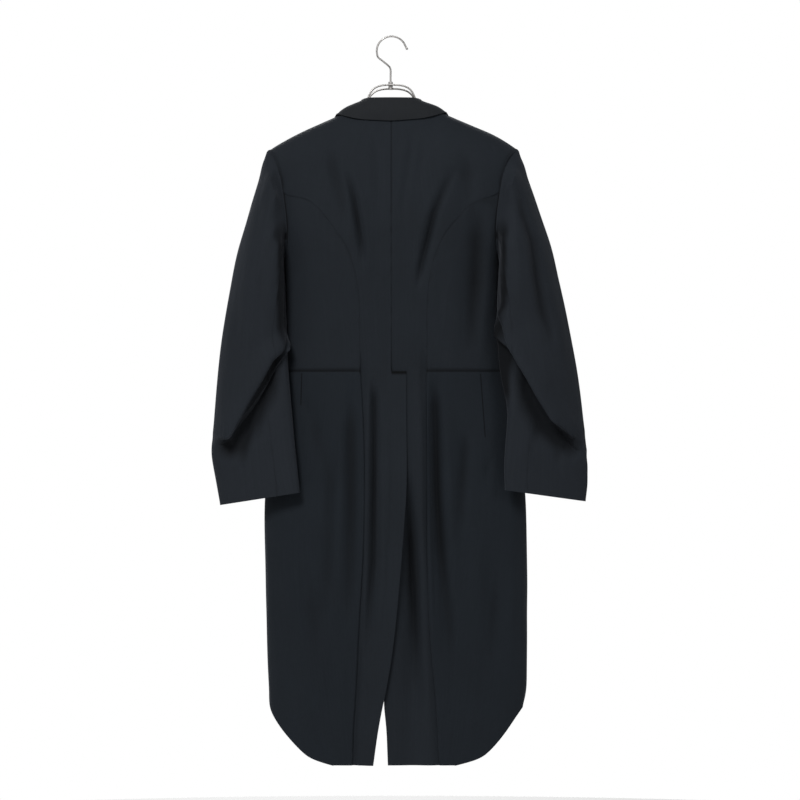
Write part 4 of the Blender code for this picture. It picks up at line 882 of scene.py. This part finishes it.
COLLAR_COLOUR = (0.0128, 0.0142, 0.0162)
NECK = {"front": 60, "round": 95}  # from the middle plane to the neck's centre, and its radius
collar = dress("collar", "cloth_collar")
places = points_of(collar)
turn = np.arctan2(places[:, 0], places[:, 1] + NECK["front"])
lay_weave(collar, NECK["round"] * turn, places[:, 2])
finish_cloth(collar, "collar", worsted("collar worsted", COLLAR_COLOUR, 0.22))

# The waist button. A turned black horn button with a raised rim and a dished middle, sewn to the
# left forepart with black thread, whose crossed strands cover its four holes.

BUTTON = {"radius": 10, "thickness": 3.5, "rim": 1.6, "slope": 0.7, "dish": 0.7, "edge": 0.5}
CROSS = {"length": 4.2, "radius": 0.45, "soft": 0.15}
HORN_COLOURS = ((0.004, 0.004, 0.005), (0.016, 0.014, 0.013))
FLAT = 0.9                  # a face whose normal has this share that way faces it
low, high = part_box("front_button")
seat = (low + high) / 2
button_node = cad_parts["front_button"]
flat_faces = [face for face in button_node.data.polygons if face.normal.y < -FLAT]
outward = sum((face.normal * face.area for face in flat_faces), flat_faces[0].normal * 0)
outward.normalize()
turned = outward.to_track_quat("Z", "Y")
bpy.ops.object.select_all(action="DESELECT")
bpy.ops.mesh.primitive_cylinder_add(vertices=48, radius=BUTTON["radius"] * MM,
                                    depth=BUTTON["thickness"] * MM)
button = bpy.context.object
button.name = "waist_button"
bpy.ops.object.mode_set(mode="EDIT")
bpy.ops.mesh.select_all(action="DESELECT")
bpy.ops.object.mode_set(mode="OBJECT")
for face in button.data.polygons:
    face.select = face.normal.z > FLAT
bpy.ops.object.mode_set(mode="EDIT")
bpy.ops.mesh.inset(thickness=BUTTON["rim"] * MM, depth=0)
bpy.ops.mesh.inset(thickness=BUTTON["slope"] * MM, depth=-BUTTON["dish"] * MM)
bpy.ops.object.mode_set(mode="OBJECT")
edge = button.modifiers.new("turned edge", "BEVEL")
edge.width = BUTTON["edge"] * MM
edge.segments = 3
edge.limit_method = "ANGLE"
bpy.ops.object.modifier_apply(modifier=edge.name)
bpy.ops.object.shade_smooth_by_angle(angle=math.radians(40))
button.rotation_mode = "QUATERNION"
button.rotation_quaternion = turned
button.location = seat
bpy.ops.object.transform_apply(location=True, rotation=True, scale=True)
horn, horn_nodes, horn_links, horn_shader = new_material("black horn")
horn_place = horn_nodes.new("ShaderNodeTexCoord")
horn_streak = horn_nodes.new("ShaderNodeTexNoise")
horn_tone = horn_nodes.new("ShaderNodeValToRGB")
for element, colour in zip(horn_tone.color_ramp.elements, HORN_COLOURS):
    element.color = (*colour, 1)
give(horn_streak, {"Scale": 260})
give(horn_shader, {"Roughness": 0.32})
horn_links.new(horn_place.outputs["Object"], horn_streak.inputs["Vector"])
horn_links.new(horn_streak.outputs["Fac"], horn_tone.inputs["Fac"])
horn_links.new(horn_tone.outputs["Color"], horn_shader.inputs["Base Color"])
button.data.materials.append(horn)
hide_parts("front_button")
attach(button, "root")

cross = []
for turn_by in (45, 135):
    strand = add_strand(CROSS["radius"], CROSS["length"], CROSS["soft"])
    strand.rotation_euler = (math.radians(90), 0, math.radians(turn_by))
    bpy.ops.object.transform_apply(location=False, rotation=True, scale=True)
    strand.rotation_mode = "QUATERNION"
    strand.rotation_quaternion = turned
    strand.location = seat + outward * (BUTTON["thickness"] / 2 - BUTTON["dish"]) * MM
    bpy.ops.object.transform_apply(location=True, rotation=True, scale=True)
    cross.append(strand)
sew_on(cross, "button_thread")

# The hanger. Chromed steel wire, a little dulled by use: a hook with a small ball end, clamped by
# a ferrule between the two wires of a bowed frame that goes down through the neck and under the
# shoulders.

CHROME_COLOUR = (0.50, 0.485, 0.47)
CHROME_DULL = 0.8           # the darkest of the marks, as a share of the colour
CHROME_ROUGHNESS = {"least": 0.336, "most": 0.672}


def chrome(name):
    """Make a chromed wire's material, with faint marks from handling."""
    material, nodes, links, shader = new_material(name)
    place = nodes.new("ShaderNodeTexCoord")
    marks = nodes.new("ShaderNodeTexNoise")
    smudge = nodes.new("ShaderNodeMapRange")
    tone = nodes.new("ShaderNodeValToRGB")
    give(marks, {"Scale": 180, "Detail": 4})
    give(smudge, {"From Min": 0.35, "From Max": 0.7, "To Min": CHROME_ROUGHNESS["least"],
                  "To Max": CHROME_ROUGHNESS["most"]})
    give(shader, {"Metallic": 1.0})
    dull, bright = tone.color_ramp.elements
    dull.position = 0.3
    dull.color = (*(CHROME_DULL * part for part in CHROME_COLOUR), 1)
    bright.color = (*CHROME_COLOUR, 1)
    links.new(place.outputs["Object"], marks.inputs["Vector"])
    links.new(marks.outputs["Fac"], smudge.inputs["Value"])
    links.new(smudge.outputs["Result"], shader.inputs["Roughness"])
    links.new(marks.outputs["Fac"], tone.inputs["Fac"])
    links.new(tone.outputs["Color"], shader.inputs["Base Color"])
    return material


for node_name, piece_name in (("hanger_hook", "chrome_hook"), ("hanger_knuckle", "chrome_ferrule"),
                              ("hanger_wires", "chrome_wires")):
    metal = dress(node_name, piece_name, levels=1, sewn=False)
    metal.data.materials.clear()
    metal.data.materials.append(chrome(f"{piece_name} finish"))
    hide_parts(node_name)
    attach(metal, "root")

# The studio: a pale floor under the hanging coat, an even white surround, a broad key light from
# above and beside the camera, weak ones from both sides and one from in front of the coat, and a
# long lens behind the coat's back. Its lengths are in metres.

FLOOR_Z = -1.42
FLOOR_RADIUS = 2.1
FLOOR_COLOUR = (0.82, 0.82, 0.82)
SURROUND = {"on the coat": 0.26, "behind it": 1.0}
# name, place, aim, width, power in watts
LIGHTS = (
    ("key", (1.3, 3.6, 2.4), (0, 0, -0.6), 1.6, 182),
    ("left fill", (2.8, 1.4, -0.2), (0, 0, -0.6), 1.6, 6),
    ("right fill", (-2.2, 2.4, 0.3), (0, 0, -0.7), 1.6, 16),
    ("front", (0.3, -3.0, 1.2), (0, 0, -0.4), 2.2, 70),
)
CAMERA_X = -0.0138
CAMERA_Z = -0.5897
FRAME_WIDTH = 1.296         # of the picture at the coat's back
BACK_PLANE = 0.025          # the plane of the coat's back
LENS = 200                  # in millimetres, like the sensor's width
SENSOR = 36
FARTHEST = 50               # that the camera sees
bpy.ops.object.select_all(action="DESELECT")
bpy.ops.mesh.primitive_circle_add(vertices=96, radius=FLOOR_RADIUS, fill_type="NGON",
                                  location=(0, 0, FLOOR_Z))
floor = bpy.context.object
floor.name = "floor"
bpy.ops.object.transform_apply(location=True, rotation=True, scale=True)
paper = new_material("pale floor")[0]
give(paper.node_tree.nodes["Principled BSDF"], {"Base Color": (*FLOOR_COLOUR, 1), "Roughness": 0.9})
floor.data.materials.append(paper)

world = bpy.data.worlds.new("white surround")
bpy.context.scene.world = world
world.use_nodes = True
surround = world.node_tree.nodes["Background"]
path = world.node_tree.nodes.new("ShaderNodeLightPath")
strength = world.node_tree.nodes.new("ShaderNodeMapRange")
give(surround, {"Color": (1, 1, 1, 1)})
give(strength, {"To Min": SURROUND["on the coat"], "To Max": SURROUND["behind it"]})
world.node_tree.links.new(path.outputs["Is Camera Ray"], strength.inputs["Value"])
world.node_tree.links.new(strength.outputs["Result"], surround.inputs["Strength"])

for name, place, aim, width, power in LIGHTS:
    lamp = bpy.data.lights.new(name, "AREA")
    lamp.shape = "DISK"
    lamp.size = width
    lamp.energy = power
    holder = bpy.data.objects.new(name, lamp)
    bpy.context.scene.collection.objects.link(holder)
    holder.location = place
    toward = np.array(aim) - np.array(place)
    holder.rotation_mode = "QUATERNION"
    holder.rotation_quaternion = Vector(toward).to_track_quat("-Z", "Y")

lens = bpy.data.cameras.new("camera")
lens.lens = LENS
lens.sensor_width = SENSOR
lens.clip_end = FARTHEST
camera = bpy.data.objects.new("camera", lens)
bpy.context.scene.collection.objects.link(camera)
camera.location = (CAMERA_X, BACK_PLANE + FRAME_WIDTH * LENS / SENSOR, CAMERA_Z)
camera.rotation_euler = (math.radians(90), 0, math.radians(180))
bpy.context.scene.camera = camera
bpy.context.scene.view_settings.view_transform = "Standard"
